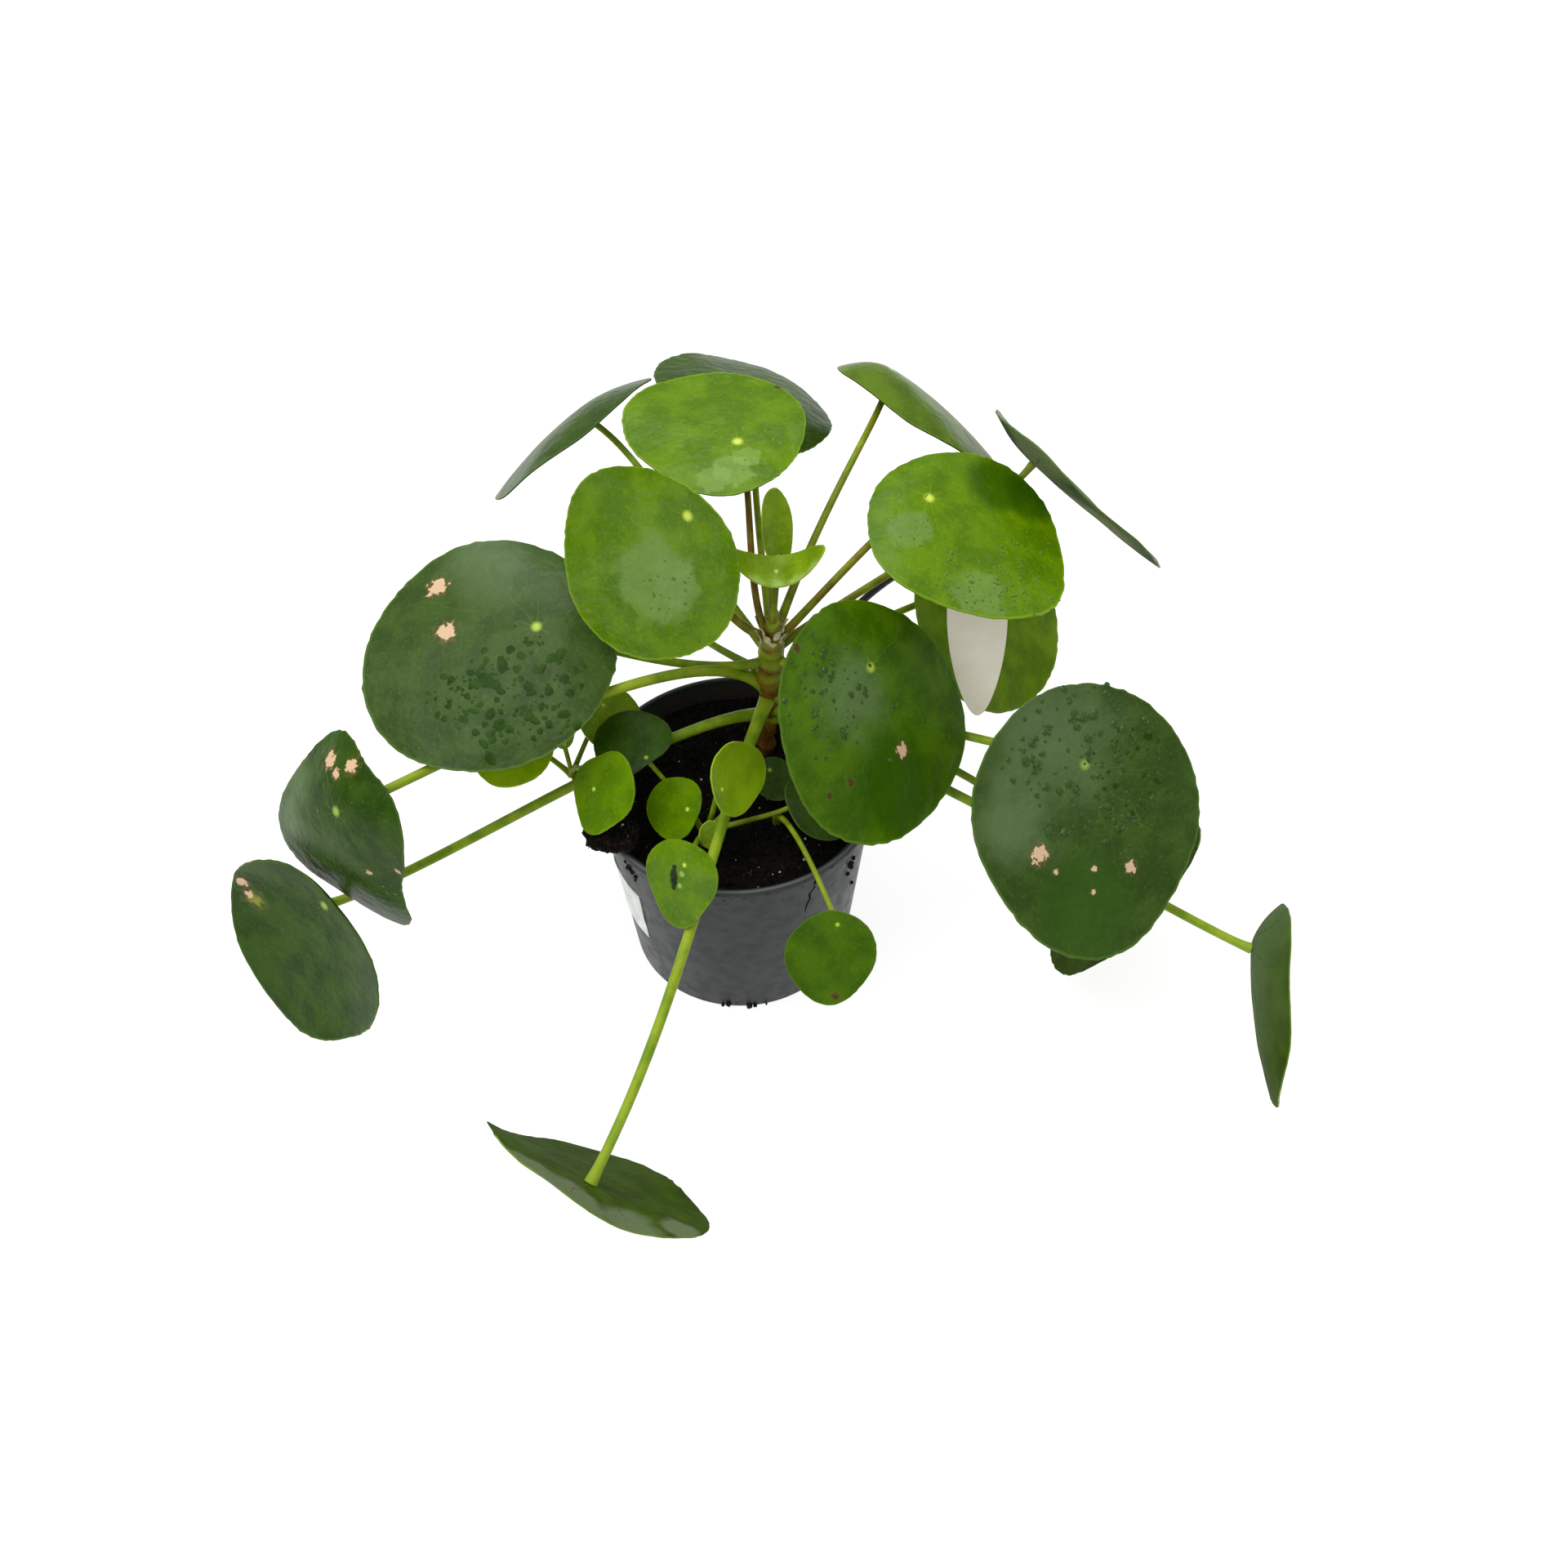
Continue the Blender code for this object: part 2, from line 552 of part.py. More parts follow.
def make_main_stem(collection, materials):
    points = [STEM_FOOT, STEM_SOIL_TOP] + [STEM_SOIL_TOP.lerp(STEM_TOP, share)
                                           for share in STEM_RING_SHARES]
    radii = [STEM_FOOT_RADIUS] * 3 + [STEM_CROWN_RADIUS] * 2 + [STEM_TOP_RADIUS]
    trunk = tube("main_stem_trunk", points, radii, collection)
    make_leafy_stem("main_stem", trunk, MAIN_LEAVES, collection, materials)


def make_pups(collection, materials):
    for name, points, leaves in (("front_pup_stem", FRONT_PUP_STEM, FRONT_PUP_LEAVES),
                                 ("left_pup_stem", LEFT_PUP_STEM, LEFT_PUP_LEAVES)):
        trunk = tube(name + "_trunk", points, [PUP_STEM_RADIUS] * len(points), collection)
        make_leafy_stem(name, trunk, leaves, collection, materials, small=True)


def make_leafy_stem(name, trunk, leaves, collection, materials, small=False):
    """Make a stem's blades, and join the stem and its petioles into one body."""
    pieces = [trunk]
    for leaf_name, spec in leaves.items():
        little = small or spec.length < SMALL_BLADE_LENGTH
        make_blade(leaf_name, spec, collection, materials[spec.colour], little)
        pieces.append(make_petiole(leaf_name + "_petiole", spec, collection))
    joined(name, pieces, collection, materials["stem_green"])


def make_sprout(collection, materials):
    make_blade("sprout_leaf", SPROUT_LEAF, collection, materials[SPROUT_LEAF.colour], True)
    points = [Vector(SPROUT_FOOT) * MM] + petiole_points(SPROUT_LEAF)
    radii = [SPROUT_LEAF.radius * FOOT_SWELL * MM] + petiole_radii(SPROUT_LEAF, len(points) - 1)
    tube("sprout_petiole", points, radii, collection, materials["stem_green"])


def card_axes():
    """Return the card's unit vectors: down its length, across it and out of its front."""
    down = (CARD_TIP - CARD_TOP).normalized()
    across = Vector((0.0, 0.0, 1.0)).cross(down).normalized()
    front = down.cross(across)
    return down, across, front


def make_label(collection, materials):
    """Make the oval card, and the stake that ends just behind its upper left part."""
    down, across, front = card_axes()
    half_length = (CARD_TIP - CARD_TOP).length / 2
    middle = (CARD_TOP + CARD_TIP) / 2
    shape = bmesh.new()
    bmesh.ops.create_cone(shape, cap_ends=True, segments=32, radius1=1.0, radius2=1.0,
                          depth=CARD_THICKNESS)
    for vert in shape.verts:
        x, y, z = vert.co
        half_width = CARD_WIDTH / 2 * (1.0 - CARD_TAPER * max(0.0, x) ** 2)
        vert.co = middle + down * x * half_length + across * y * half_width + front * z
    add_object("label_card", mesh_from_bmesh("label_card", shape), collection,
               materials["card"])
    behind = front * (CARD_THICKNESS / 2 + GAP + STAKE_RADIUS)
    leftward = across if across.x < 0 else -across
    end = (CARD_TOP + down * 2 * half_length * STAKE_REACH_DOWN
           + leftward * CARD_WIDTH * STAKE_REACH_ASIDE - behind)
    points = [STAKE_FOOT, STAKE_SOIL_TOP]
    handles = (STAKE_SOIL_TOP, *STAKE_BEND, end)
    points += [bezier(handles, (i + 1) / STAKE_SEGMENTS) for i in range(STAKE_SEGMENTS)]
    tube("label_stake", points, [STAKE_RADIUS] * len(points), collection,
         materials["stake_plastic"])


def make_sticker(collection, material):
    """Wrap a thin blank patch round the pot's wall."""
    shape = bmesh.new()
    bmesh.ops.create_grid(shape, x_segments=STICKER_COLUMNS, y_segments=1, size=0.5)
    for vert in shape.verts:
        angle = math.radians(STICKER_FROM + (vert.co.x + 0.5) * (STICKER_TO - STICKER_FROM))
        height = STICKER_FOOT + (vert.co.y + 0.5) * (STICKER_TOP - STICKER_FOOT)
        radius = wall_radius(height) + 1.5 * GAP + STICKER_THICKNESS
        vert.co = (radius * math.cos(angle), radius * math.sin(angle), height)
    mesh = mesh_from_bmesh("pot_sticker", shape)
    sticker = add_object("pot_sticker", mesh, collection, material)
    thicken = sticker.modifiers.new("Thickness", "SOLIDIFY")
    thicken.thickness = STICKER_THICKNESS


def main():
    clear_scene()
    plant = new_collection("potted_chinese_money_plant")
    materials = make_materials()
    make_pot(plant, new_collection("drain_cutters"), materials["pot_plastic"])
    make_soil(plant, new_collection("stem_hole_cutters"), materials["potting_soil"])
    make_clump(plant, materials["potting_soil"])
    make_main_stem(plant, materials)
    make_pups(plant, materials)
    make_sprout(plant, materials)
    make_label(plant, materials)
    make_sticker(plant, materials["sticker_paper"])


main()
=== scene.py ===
import math
from collections import namedtuple

import bmesh
import bpy
from mathutils import Matrix, Vector, noise


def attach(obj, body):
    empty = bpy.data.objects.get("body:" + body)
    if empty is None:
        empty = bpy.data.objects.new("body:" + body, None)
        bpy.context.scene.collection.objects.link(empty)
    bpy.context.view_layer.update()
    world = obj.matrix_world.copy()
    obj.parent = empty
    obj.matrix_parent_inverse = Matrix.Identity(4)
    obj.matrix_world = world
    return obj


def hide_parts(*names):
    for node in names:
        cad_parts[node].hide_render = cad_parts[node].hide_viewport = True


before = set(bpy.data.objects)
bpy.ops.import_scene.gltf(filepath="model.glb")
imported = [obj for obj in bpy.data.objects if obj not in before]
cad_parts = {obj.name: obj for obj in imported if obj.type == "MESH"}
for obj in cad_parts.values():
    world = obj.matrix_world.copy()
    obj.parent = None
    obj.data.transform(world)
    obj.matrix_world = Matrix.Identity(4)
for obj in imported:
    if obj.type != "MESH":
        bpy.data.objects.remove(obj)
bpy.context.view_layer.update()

# The camera stands in front of the plant and above it, with a 50 mm lens on a 36 mm sensor.
# Its place and turn were solved from the pot's rim and base in the photograph.
CAMERA_PLACE = Vector((0.0, -0.597, 0.777))
CAMERA_PITCH = math.radians(48.9)
CAMERA_YAW = math.radians(1.9)
CAMERA_ROLL = math.radians(-0.95)
UPRIGHT = Vector((0.0, 0.0, 1.0))


def add_object(name, data, *materials):
    obj = bpy.data.objects.new(name, data)
    bpy.context.scene.collection.objects.link(obj)
    for material in materials:
        data.materials.append(material)
    return obj


lens = bpy.data.cameras.new("camera")
lens.lens = 50.0
lens.sensor_width = 36.0
camera = add_object("camera", lens)
forward = Vector((math.sin(CAMERA_YAW) * math.cos(CAMERA_PITCH),
                  math.cos(CAMERA_YAW) * math.cos(CAMERA_PITCH), -math.sin(CAMERA_PITCH)))
level_right = forward.cross(UPRIGHT).normalized()
level_up = level_right.cross(forward)
right = level_right * math.cos(CAMERA_ROLL) + level_up * math.sin(CAMERA_ROLL)
up = level_up * math.cos(CAMERA_ROLL) - level_right * math.sin(CAMERA_ROLL)
turn = Matrix((right, up, -forward)).transposed()
camera.matrix_world = Matrix.Translation(CAMERA_PLACE) @ turn.to_4x4()
bpy.context.scene.camera = camera

# The pot is a moulded nursery pot of satin charcoal plastic: a thin tapered wall with a rolled
# lip, a faint band under it and eight drain holes in its floor. It stands loose on its base.
MM = 0.001
POT_HEIGHT = 96 * MM
POT_RIM_RADIUS = 60 * MM
POT_BASE_RADIUS = 47 * MM
POT_WALL = 1.4 * MM
POT_FLOOR = 1.8 * MM
POT_LIP_WIDTH = 2.4 * MM
POT_LIP_HEIGHT = 3 * MM
POT_LIP_ROUND = 0.7 * MM
POT_BAND_HEIGHT = 12 * MM
POT_BAND_STEP = 0.5 * MM
POT_BASE_ROUND = 1.2 * MM
POT_STEPS = 128
DRAIN_HOLES = 8
DRAIN_RADIUS = 4 * MM
DRAIN_RING_RADIUS = 34 * MM
DRAIN_SIDES = 24


class Wire:
    """An output of a node. Sums that are written with wires become nodes of their tree."""

    def __init__(self, socket):
        self.socket = socket
        self.tree = socket.id_data
        self.is_vector = socket.type in ("VECTOR", "RGBA")

    def other(self, name):
        """Return another output of the same node."""
        return Wire(self.socket.node.outputs[name])

    def __add__(self, value):
        return calc("ADD", self, value)

    def __radd__(self, value):
        return calc("ADD", value, self)

    def __sub__(self, value):
        return calc("SUBTRACT", self, value)

    def __mul__(self, value):
        return calc("SCALE" if self.is_vector else "MULTIPLY", self, value)

    def __truediv__(self, value):
        return calc("DIVIDE", self, value)

    def __rtruediv__(self, value):
        return calc("DIVIDE", value, self)

    def __pow__(self, value):
        return calc("POWER", self, value)

    def __lt__(self, value):
        return calc("LESS_THAN", self, value)

    def __gt__(self, value):
        return calc("GREATER_THAN", self, value)


def give(socket, value):
    """Link a socket to a wire, or set its value."""
    if isinstance(value, Wire):
        socket.id_data.links.new(value.socket, socket)
    else:
        socket.default_value = value


def usable(sockets):
    return [socket for socket in sockets if socket.enabled]


def place(tree, kind, settings=None, **inputs):
    """Put a node in a tree with its settings and inputs, and return its first output."""
    node = tree.nodes.new(kind)
    for name, value in (settings or {}).items():
        setattr(node, name, value)
    sockets = {socket.name: socket for socket in reversed(usable(node.inputs))}
    for name, value in inputs.items():
        give(sockets[name.replace("_", " ")], value)
    return Wire(usable(node.outputs)[0])


def tree_of(values):
    return next(value.tree for value in values if isinstance(value, Wire))


def calc(operation, *values):
    """Work out a number in a node tree, or a vector where one of the values is a vector."""
    has_vector = any(isinstance(value, Wire) and value.is_vector for value in values)
    kind = "ShaderNodeVectorMath" if has_vector else "ShaderNodeMath"
    total = place(tree_of(values), kind, {"operation": operation})
    for socket, value in zip(usable(total.socket.node.inputs), values):
        give(socket, value)
    return total


def parts(vector):
    """Return the X, Y and Z of a vector."""
    split = place(vector.tree, "ShaderNodeSeparateXYZ", Vector=vector)
    return [split.other(axis) for axis in "XYZ"]


def combined(x, y, z=0.0):
    return place(tree_of((x, y, z)), "ShaderNodeCombineXYZ", X=x, Y=y, Z=z)


def noise_at(vector, scale, detail=2.0):
    return place(vector.tree, "ShaderNodeTexNoise", Vector=vector, Scale=scale, Detail=detail)


def ramp(value, low, high, start=0.0, end=1.0):
    """Rise smoothly from start to end as a value goes from low to high."""
    return place(value.tree, "ShaderNodeMapRange", {"interpolation_type": "SMOOTHSTEP"},
                 Value=value, From_Min=low, From_Max=high, To_Min=start, To_Max=end)


def paint(colour):
    """Turn a colour as a screen shows it, 0 to 255, into the linear colour that Blender mixes."""
    shares = (channel / 255 for channel in colour)
    return (*(((s + 0.055) / 1.055) ** 2.4 if s > 0.04 else s / 12.92 for s in shares), 1.0)


def layered(colour, *layers):
    """Lay colours over a colour, each through its mask, and return the colour they make."""
    for mask, over in layers:
        a, b = (paint(tone) if isinstance(tone, tuple) else tone for tone in (colour, over))
        colour = place(mask.tree, "ShaderNodeMix", {"data_type": "RGBA"}, Factor=mask, A=a, B=b)
    return colour


def new_material(name, roughness, specular):
    """Start a material, and return it with its shader and the object coordinates."""
    material = bpy.data.materials.new(name)
    material.use_nodes = True
    shader = material.node_tree.nodes["Principled BSDF"]
    shader.inputs["Roughness"].default_value = roughness
    shader.inputs["Specular IOR Level"].default_value = specular
    return material, shader, place(material.node_tree, "ShaderNodeTexCoord").other("Object")


def tint(shader, colour, *layers):
    give(shader.inputs["Base Color"], layered(colour, *layers))


def bump(shader, height, distance):
    """Raise the surface by a mask times a distance in metres."""
    give(shader.inputs["Normal"],
         place(height.tree, "ShaderNodeBump", Height=height, Distance=distance, Strength=1.0))


def new_group(kind, name, inputs, outputs):
    """Start a node group, and return it with its input wires and its output sockets."""
    tree = bpy.data.node_groups.new(name, kind)
    for in_out, sockets in (("INPUT", inputs), ("OUTPUT", outputs)):
        for socket_name, socket_type in sockets.items():
            tree.interface.new_socket(name=socket_name, in_out=in_out,
                                      socket_type="NodeSocket" + socket_type)
    start = tree.nodes.new("NodeGroupInput").outputs
    wires = {socket_name: Wire(start[socket_name]) for socket_name in inputs}
    return tree, wires, tree.nodes.new("NodeGroupOutput").inputs


# Patches: soft uneven blotches of a given size, as dust, wear, growth and damp leave them.
patches, given, result = new_group(
    "ShaderNodeTree", "patches",
    {"Place": "Vector", "Size": "Float", "Low": "Float", "High": "Float", "Detail": "Float"},
    {"Mask": "Float"})
cells = noise_at(given["Place"], 1.0 / given["Size"], given["Detail"])
give(result["Mask"], ramp(cells, given["Low"], given["High"]))


def patchy(where, size, low=0.35, high=0.65, detail=4.0):
    """Return a mask of blotches of a size in metres."""
    return place(where.tree, "ShaderNodeGroup", {"node_tree": patches}, Place=where, Size=size,
                 Low=low, High=high, Detail=detail)


def around(azimuth):
    """Return the level unit vector at an azimuth in degrees."""
    return Vector((math.cos(math.radians(azimuth)), math.sin(math.radians(azimuth)), 0.0))


def mesh_of(name, shape):
    mesh = bpy.data.meshes.new(name)
    shape.to_mesh(mesh)
    shape.free()
    return mesh


def finished(obj):
    """Turn an object's modifiers into plain mesh."""
    depsgraph = bpy.context.evaluated_depsgraph_get()
    mesh = bpy.data.meshes.new_from_object(obj.evaluated_get(depsgraph))
    obj.modifiers.clear()
    obj.data = mesh
    return obj


def smooth(obj, angle=60):
    """Shade an object smooth, but for edges sharper than an angle in degrees."""
    obj.data.shade_smooth()
    obj.data.set_sharp_from_angle(angle=math.radians(angle))
    return obj


def keep(piece, slot, *nodes):
    """Let a piece ride on the plant, in place of CAD nodes, which it hides. The slot is not used."""
    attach(piece, "root")
    if nodes:
        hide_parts(*nodes)


def wall_radius(height):
    """Return the pot's outer radius at a height, below its band."""
    slope = (POT_RIM_RADIUS - POT_LIP_WIDTH - POT_BASE_RADIUS) / POT_HEIGHT
    return POT_BASE_RADIUS + slope * height


def rounded(centre_radius, centre_height, size, start, end, count=5):
    """Return profile points round a small arc, from one angle to another in degrees."""
    steps = (math.radians(start + (end - start) * i / (count - 1)) for i in range(count))
    return [(centre_radius + size * math.cos(a), centre_height + size * math.sin(a))
            for a in steps]


def turned(name, profile, steps):
    """Turn a profile of (radius, height) points about Z into a solid.

    The profile starts and ends on the axis, and going along it the solid is on the right.
    """
    (_, first_height), *middle, (_, last_height) = profile
    points = [UPRIGHT * first_height, UPRIGHT * last_height]
    points += [around(360 * step / steps) * radius + UPRIGHT * height
               for step in range(steps) for radius, height in middle]
    count = len(middle)
    faces = []
    for step in range(steps):
        here = 2 + step * count
        there = 2 + (step + 1) % steps * count
        faces.append((0, here, there))
        faces += [(here + i, here + i + 1, there + i + 1, there + i) for i in range(count - 1)]
        faces.append((here + count - 1, 1, there + count - 1))
    mesh = bpy.data.meshes.new(name)
    mesh.from_pydata(points, [], faces)
    return mesh


lip_foot = POT_HEIGHT - POT_LIP_HEIGHT
lip_top = POT_HEIGHT - POT_LIP_ROUND
inner_lip = POT_RIM_RADIUS - POT_LIP_WIDTH
band_foot = POT_HEIGHT - POT_BAND_HEIGHT
band_line = band_foot - POT_BAND_STEP
pot_profile = [
    (0.0, POT_FLOOR), (wall_radius(POT_FLOOR) - POT_WALL, POT_FLOOR),
    (wall_radius(lip_foot) - POT_WALL, lip_foot),
    *rounded(inner_lip + POT_LIP_ROUND, lip_top, POT_LIP_ROUND, 180, 90),
    *rounded(POT_RIM_RADIUS - POT_LIP_ROUND, lip_top, POT_LIP_ROUND, 90, 0),
    (POT_RIM_RADIUS, lip_foot + POT_LIP_ROUND / 2), (POT_RIM_RADIUS - POT_LIP_ROUND / 2, lip_foot),
    (wall_radius(lip_foot) + POT_BAND_STEP, lip_foot - POT_BAND_STEP),
    (wall_radius(band_foot) + POT_BAND_STEP, band_foot), (wall_radius(band_foot), band_line),
    *rounded(POT_BASE_RADIUS - POT_BASE_ROUND, POT_BASE_ROUND, POT_BASE_ROUND, 0, -90),
    (0.0, 0.0)]

# The pot's paint, as a screen shows it: dust on the dark charcoal, a greyer inside, smears of peat
# at the foot, under the rim and inside, a painted highlight along the top of the lip and a line of
# painted shading under the band.
POT_GREY = (26, 33, 33)
POT_DUST = (37, 44, 43)
POT_INSIDE = (38, 40, 42)
PEAT_SMEAR = (48, 36, 27)
LIP_PAINTED_HIGHLIGHT = (112, 116, 112)
BAND_PAINTED_SHADING = (18, 20, 20)
WALL_LEAN = 0.11

pot_plastic, shader, spot = new_material("pot_plastic", 0.42, 0.25)
height = parts(spot)[2]
from_axis = calc("LENGTH", calc("MULTIPLY", spot, (1.0, 1.0, 0.0)))
inside = ramp(from_axis - height * WALL_LEAN, wall_radius(0.0) - 0.3 * MM,
              wall_radius(0.0) - 1.0 * MM)
low_smear = patchy(spot, 2.5 * MM, 0.58, 0.66) * ramp(height, 7 * MM, 1 * MM)
rim_smear = patchy(spot, 3 * MM, 0.60, 0.68) * ramp(height, 78 * MM, 92 * MM)
smear = calc("MAXIMUM", calc("MAXIMUM", low_smear, rim_smear),
             inside * patchy(spot, 5 * MM, 0.45, 0.6))
# Painted highlight: the top of the lip is painted paler, standing in for the light it catches.
lip_painted_highlight = ramp(height, lip_top, POT_HEIGHT) * ramp(from_axis, inner_lip + 0.6 * MM,
                                                    POT_RIM_RADIUS - 0.8 * MM, 0.0, 0.5)
# Painted shading: a dark line just under the band's step, where the step's shade falls.
band_painted_shading = ramp(calc("ABSOLUTE", height - band_line), 0.5 * MM, 0.1 * MM, 0.0, 0.7)
tint(shader, POT_GREY, (patchy(spot, 20 * MM, 0.3, 0.7, 2.0) * 0.4, POT_DUST),
     (inside, POT_INSIDE), (smear, PEAT_SMEAR), (lip_painted_highlight, LIP_PAINTED_HIGHLIGHT), (band_painted_shading, BAND_PAINTED_SHADING))
give(shader.inputs["Roughness"], patchy(spot, 6 * MM) * 0.12 + (smear * 0.4 + 0.36))
bump(shader, patchy(spot, 0.5 * MM, 0.2, 0.8, 2.0), 0.012 * MM)

pot = add_object("pot_fine", turned("pot_fine", pot_profile, POT_STEPS), pot_plastic)
drill_shape = bmesh.new()
for i in range(DRAIN_HOLES):
    foot = around(360 * (i + 0.5) / DRAIN_HOLES) * DRAIN_RING_RADIUS
    bmesh.ops.create_cone(drill_shape, cap_ends=True, segments=DRAIN_SIDES, radius1=DRAIN_RADIUS,
                          radius2=DRAIN_RADIUS, depth=3 * POT_FLOOR,
                          matrix=Matrix.Translation(foot))
drill = add_object("drill", mesh_of("drill", drill_shape))
pot.modifiers.new("Drain holes", "BOOLEAN").object = drill
smooth(finished(pot), 35)
bpy.data.objects.remove(drill)
keep(pot, "pot_plastic", "pot")

# A crack runs down the pot's wall at the right of the front, where the plastic gave way under the
# band. The shade in its gap is painted as a thin dark sliver let into the wall, a hair proud of it.

# The crack's course: azimuth in degrees, then height and half width in millimetres.
CRACK_COURSE = ((302.8, 91, 0.35), (301.8, 86, 0.55), (302.2, 82, 0.45), (300.0, 79, 0.5),
                (300.4, 75, 0.4), (299.0, 71, 0.35), (298.6, 66, 0.1))
CRACK_PROUD = 0.12 * MM


def blotched(name, roughness, specular, size, one, two):
    """Make a material of two colours in soft blotches of a size in metres."""
    material, shader, spot = new_material(name, roughness, specular)
    tint(shader, one, (patchy(spot, size), two))
    return material


# Painted shade: the crack's gap is drawn as a near-black sliver.
crack_black = blotched("crack_black", 0.95, 0.05, 1 * MM, (12, 12, 12), (26, 26, 25))
crack = bmesh.new()
slices = []
for azimuth, level, half_width in CRACK_COURSE:
    level *= MM
    outside = wall_radius(level) + CRACK_PROUD + (POT_BAND_STEP if level > band_foot else 0.0)
    deep = outside - POT_WALL / 2
    out = around(azimuth)
    side = Vector((-out.y, out.x, 0.0)) * half_width * MM
    slices.append([crack.verts.new(UPRIGHT * level + out * radius + side * way)
                   for radius, way in ((outside, -1), (outside, 1), (deep, 1), (deep, -1))])
for upper, lower in zip(slices, slices[1:]):
    for i in range(4):
        crack.faces.new((upper[i], lower[i], lower[i - 1], upper[i - 1]))
crack.faces.new(slices[0])
crack.faces.new(reversed(slices[-1]))
bmesh.ops.recalc_face_normals(crack, faces=crack.faces)
keep(add_object("pot_crack", mesh_of("pot_crack", crack), crack_black), "pot_plastic", "pot")

# The potting soil is moist black peat, pressed into the pot to a finger below the rim. Its top
# is a crust of crumbs and fibres with a few white grains of perlite.
SOIL_LEVEL = 87 * MM
SOIL_GAP = 0.3 * MM
SOIL_RINGS = 26
SOIL_STEPS = 96
SOIL_HEAVE = 3.0 * MM
SOIL_HEAVE_SPACING = 14 * MM

potting_soil, shader, spot = new_material("potting_soil", 0.9, 0.12)
tint(shader, (7, 6, 5), (patchy(spot, 4 * MM), (17, 14, 11)),
     (patchy(spot, 1.2 * MM, 0.55, 0.75) * 0.6, (48, 36, 28)))
bump(shader, patchy(spot, 0.7 * MM, 0.2, 0.8, 6.0), 0.5 * MM)
perlite = blotched("perlite", 0.8, 0.3, 0.6 * MM, (215, 210, 200), (170, 160, 148))
root_fibre = blotched("root_fibre", 0.8, 0.3, 3 * MM, (74, 50, 32), (120, 88, 58))


def chance(tree, low, high, seed):
    """Draw a number between two for each point."""
    return place(tree, "FunctionNodeRandomValue", {"data_type": "FLOAT"}, Min=low, Max=high,
                 Seed=seed)


def chance_size(given, power):
    """Draw a size between the smallest and the largest. A higher power makes more small ones."""
    draw = chance(given["Seed"].tree, 0.0, 1.0, given["Seed"])
    return given["Smallest"] + draw ** power * (given["Largest"] - given["Smallest"])


def dented(ball, scale, depth):
    """Push the surface of a ball in and out."""
    dents = place(ball.tree, "ShaderNodeTexNoise", Scale=scale).other("Color") - (0.5, 0.5, 0.5)
    return place(ball.tree, "GeometryNodeSetPosition", Geometry=ball, Offset=dents * depth)


def solid(geometry, material):
    """Turn the instances in a geometry into mesh of one material."""
    whole = place(geometry.tree, "GeometryNodeRealizeInstances", Geometry=geometry)
    return place(geometry.tree, "GeometryNodeSetMaterial", Geometry=whole, Material=material)


def joined(*geometries):
    join = place(geometries[0].tree, "GeometryNodeJoinGeometry")
    for geometry in geometries:
        give(join.socket.node.inputs["Geometry"], geometry)
    return join


# Strewing: a tree that strews lumpy grains over a surface, each one turned and sized at random.
strewing, given, result = new_group(
    "GeometryNodeTree", "strewn_grains",
    {"Geometry": "Geometry", "Density": "Float", "Smallest": "Float", "Largest": "Float",
     "Stretch": "Float", "Seed": "Int", "Material": "Material"},
    {"Geometry": "Geometry"})
facing_up = parts(place(strewing, "GeometryNodeInputNormal"))[2]
spread = place(strewing, "GeometryNodeDistributePointsOnFaces", Mesh=given["Geometry"],
               Density=given["Density"], Seed=given["Seed"], Selection=facing_up > 0.15)
ball = place(strewing, "GeometryNodeMeshIcoSphere", Radius=1.0, Subdivisions=1)
grain_size = chance_size(given, 3.0)
any_turn = place(strewing, "FunctionNodeRandomValue", {"data_type": "FLOAT_VECTOR"},
                 Max=(2 * math.pi, 2 * math.pi, 2 * math.pi), Seed=given["Seed"])
grains = place(strewing, "GeometryNodeInstanceOnPoints", Points=spread, Rotation=any_turn,
               Instance=dented(ball, 1.3, 1.6),
               Scale=combined(grain_size * given["Stretch"], grain_size, grain_size))
give(result["Geometry"], solid(grains, given["Material"]))

# The peat crust strews crumbs, splinters, root fibres and perlite over a bare surface: how many
# to the square metre, the smallest and largest radius, and how many times as long as wide.
PEAT_LAYERS = ((potting_soil, 260000, 0.35 * MM, 1.6 * MM, 1.0),
               (potting_soil, 30000, 0.22 * MM, 0.5 * MM, 7.0),
               (root_fibre, 9000, 0.12 * MM, 0.22 * MM, 18.0),
               (perlite, 5000, 0.25 * MM, 0.8 * MM, 1.0))
peat_crust, given, result = new_group("GeometryNodeTree", "peat_crust",
                                      {"Geometry": "Geometry", "Share": "Float"},
                                      {"Geometry": "Geometry"})
give(result["Geometry"], joined(given["Geometry"], *(
    place(peat_crust, "GeometryNodeGroup", {"node_tree": strewing}, Geometry=given["Geometry"],
          Density=given["Share"] * density, Smallest=smallest, Largest=largest, Stretch=stretch,
          Seed=seed, Material=material)
    for seed, (material, density, smallest, largest, stretch) in enumerate(PEAT_LAYERS))))


def use_tree(obj, tree, **values):
    """Put a Geometry Nodes tree on an object, with its named inputs set."""
    modifier = obj.modifiers.new(tree.name, "NODES")
    modifier.node_group = tree
    for item in tree.interface.items_tree:
        value = values.get(item.name.replace(" ", "_"))
        if item.in_out == "INPUT" and value is not None:
            modifier[item.identifier] = value


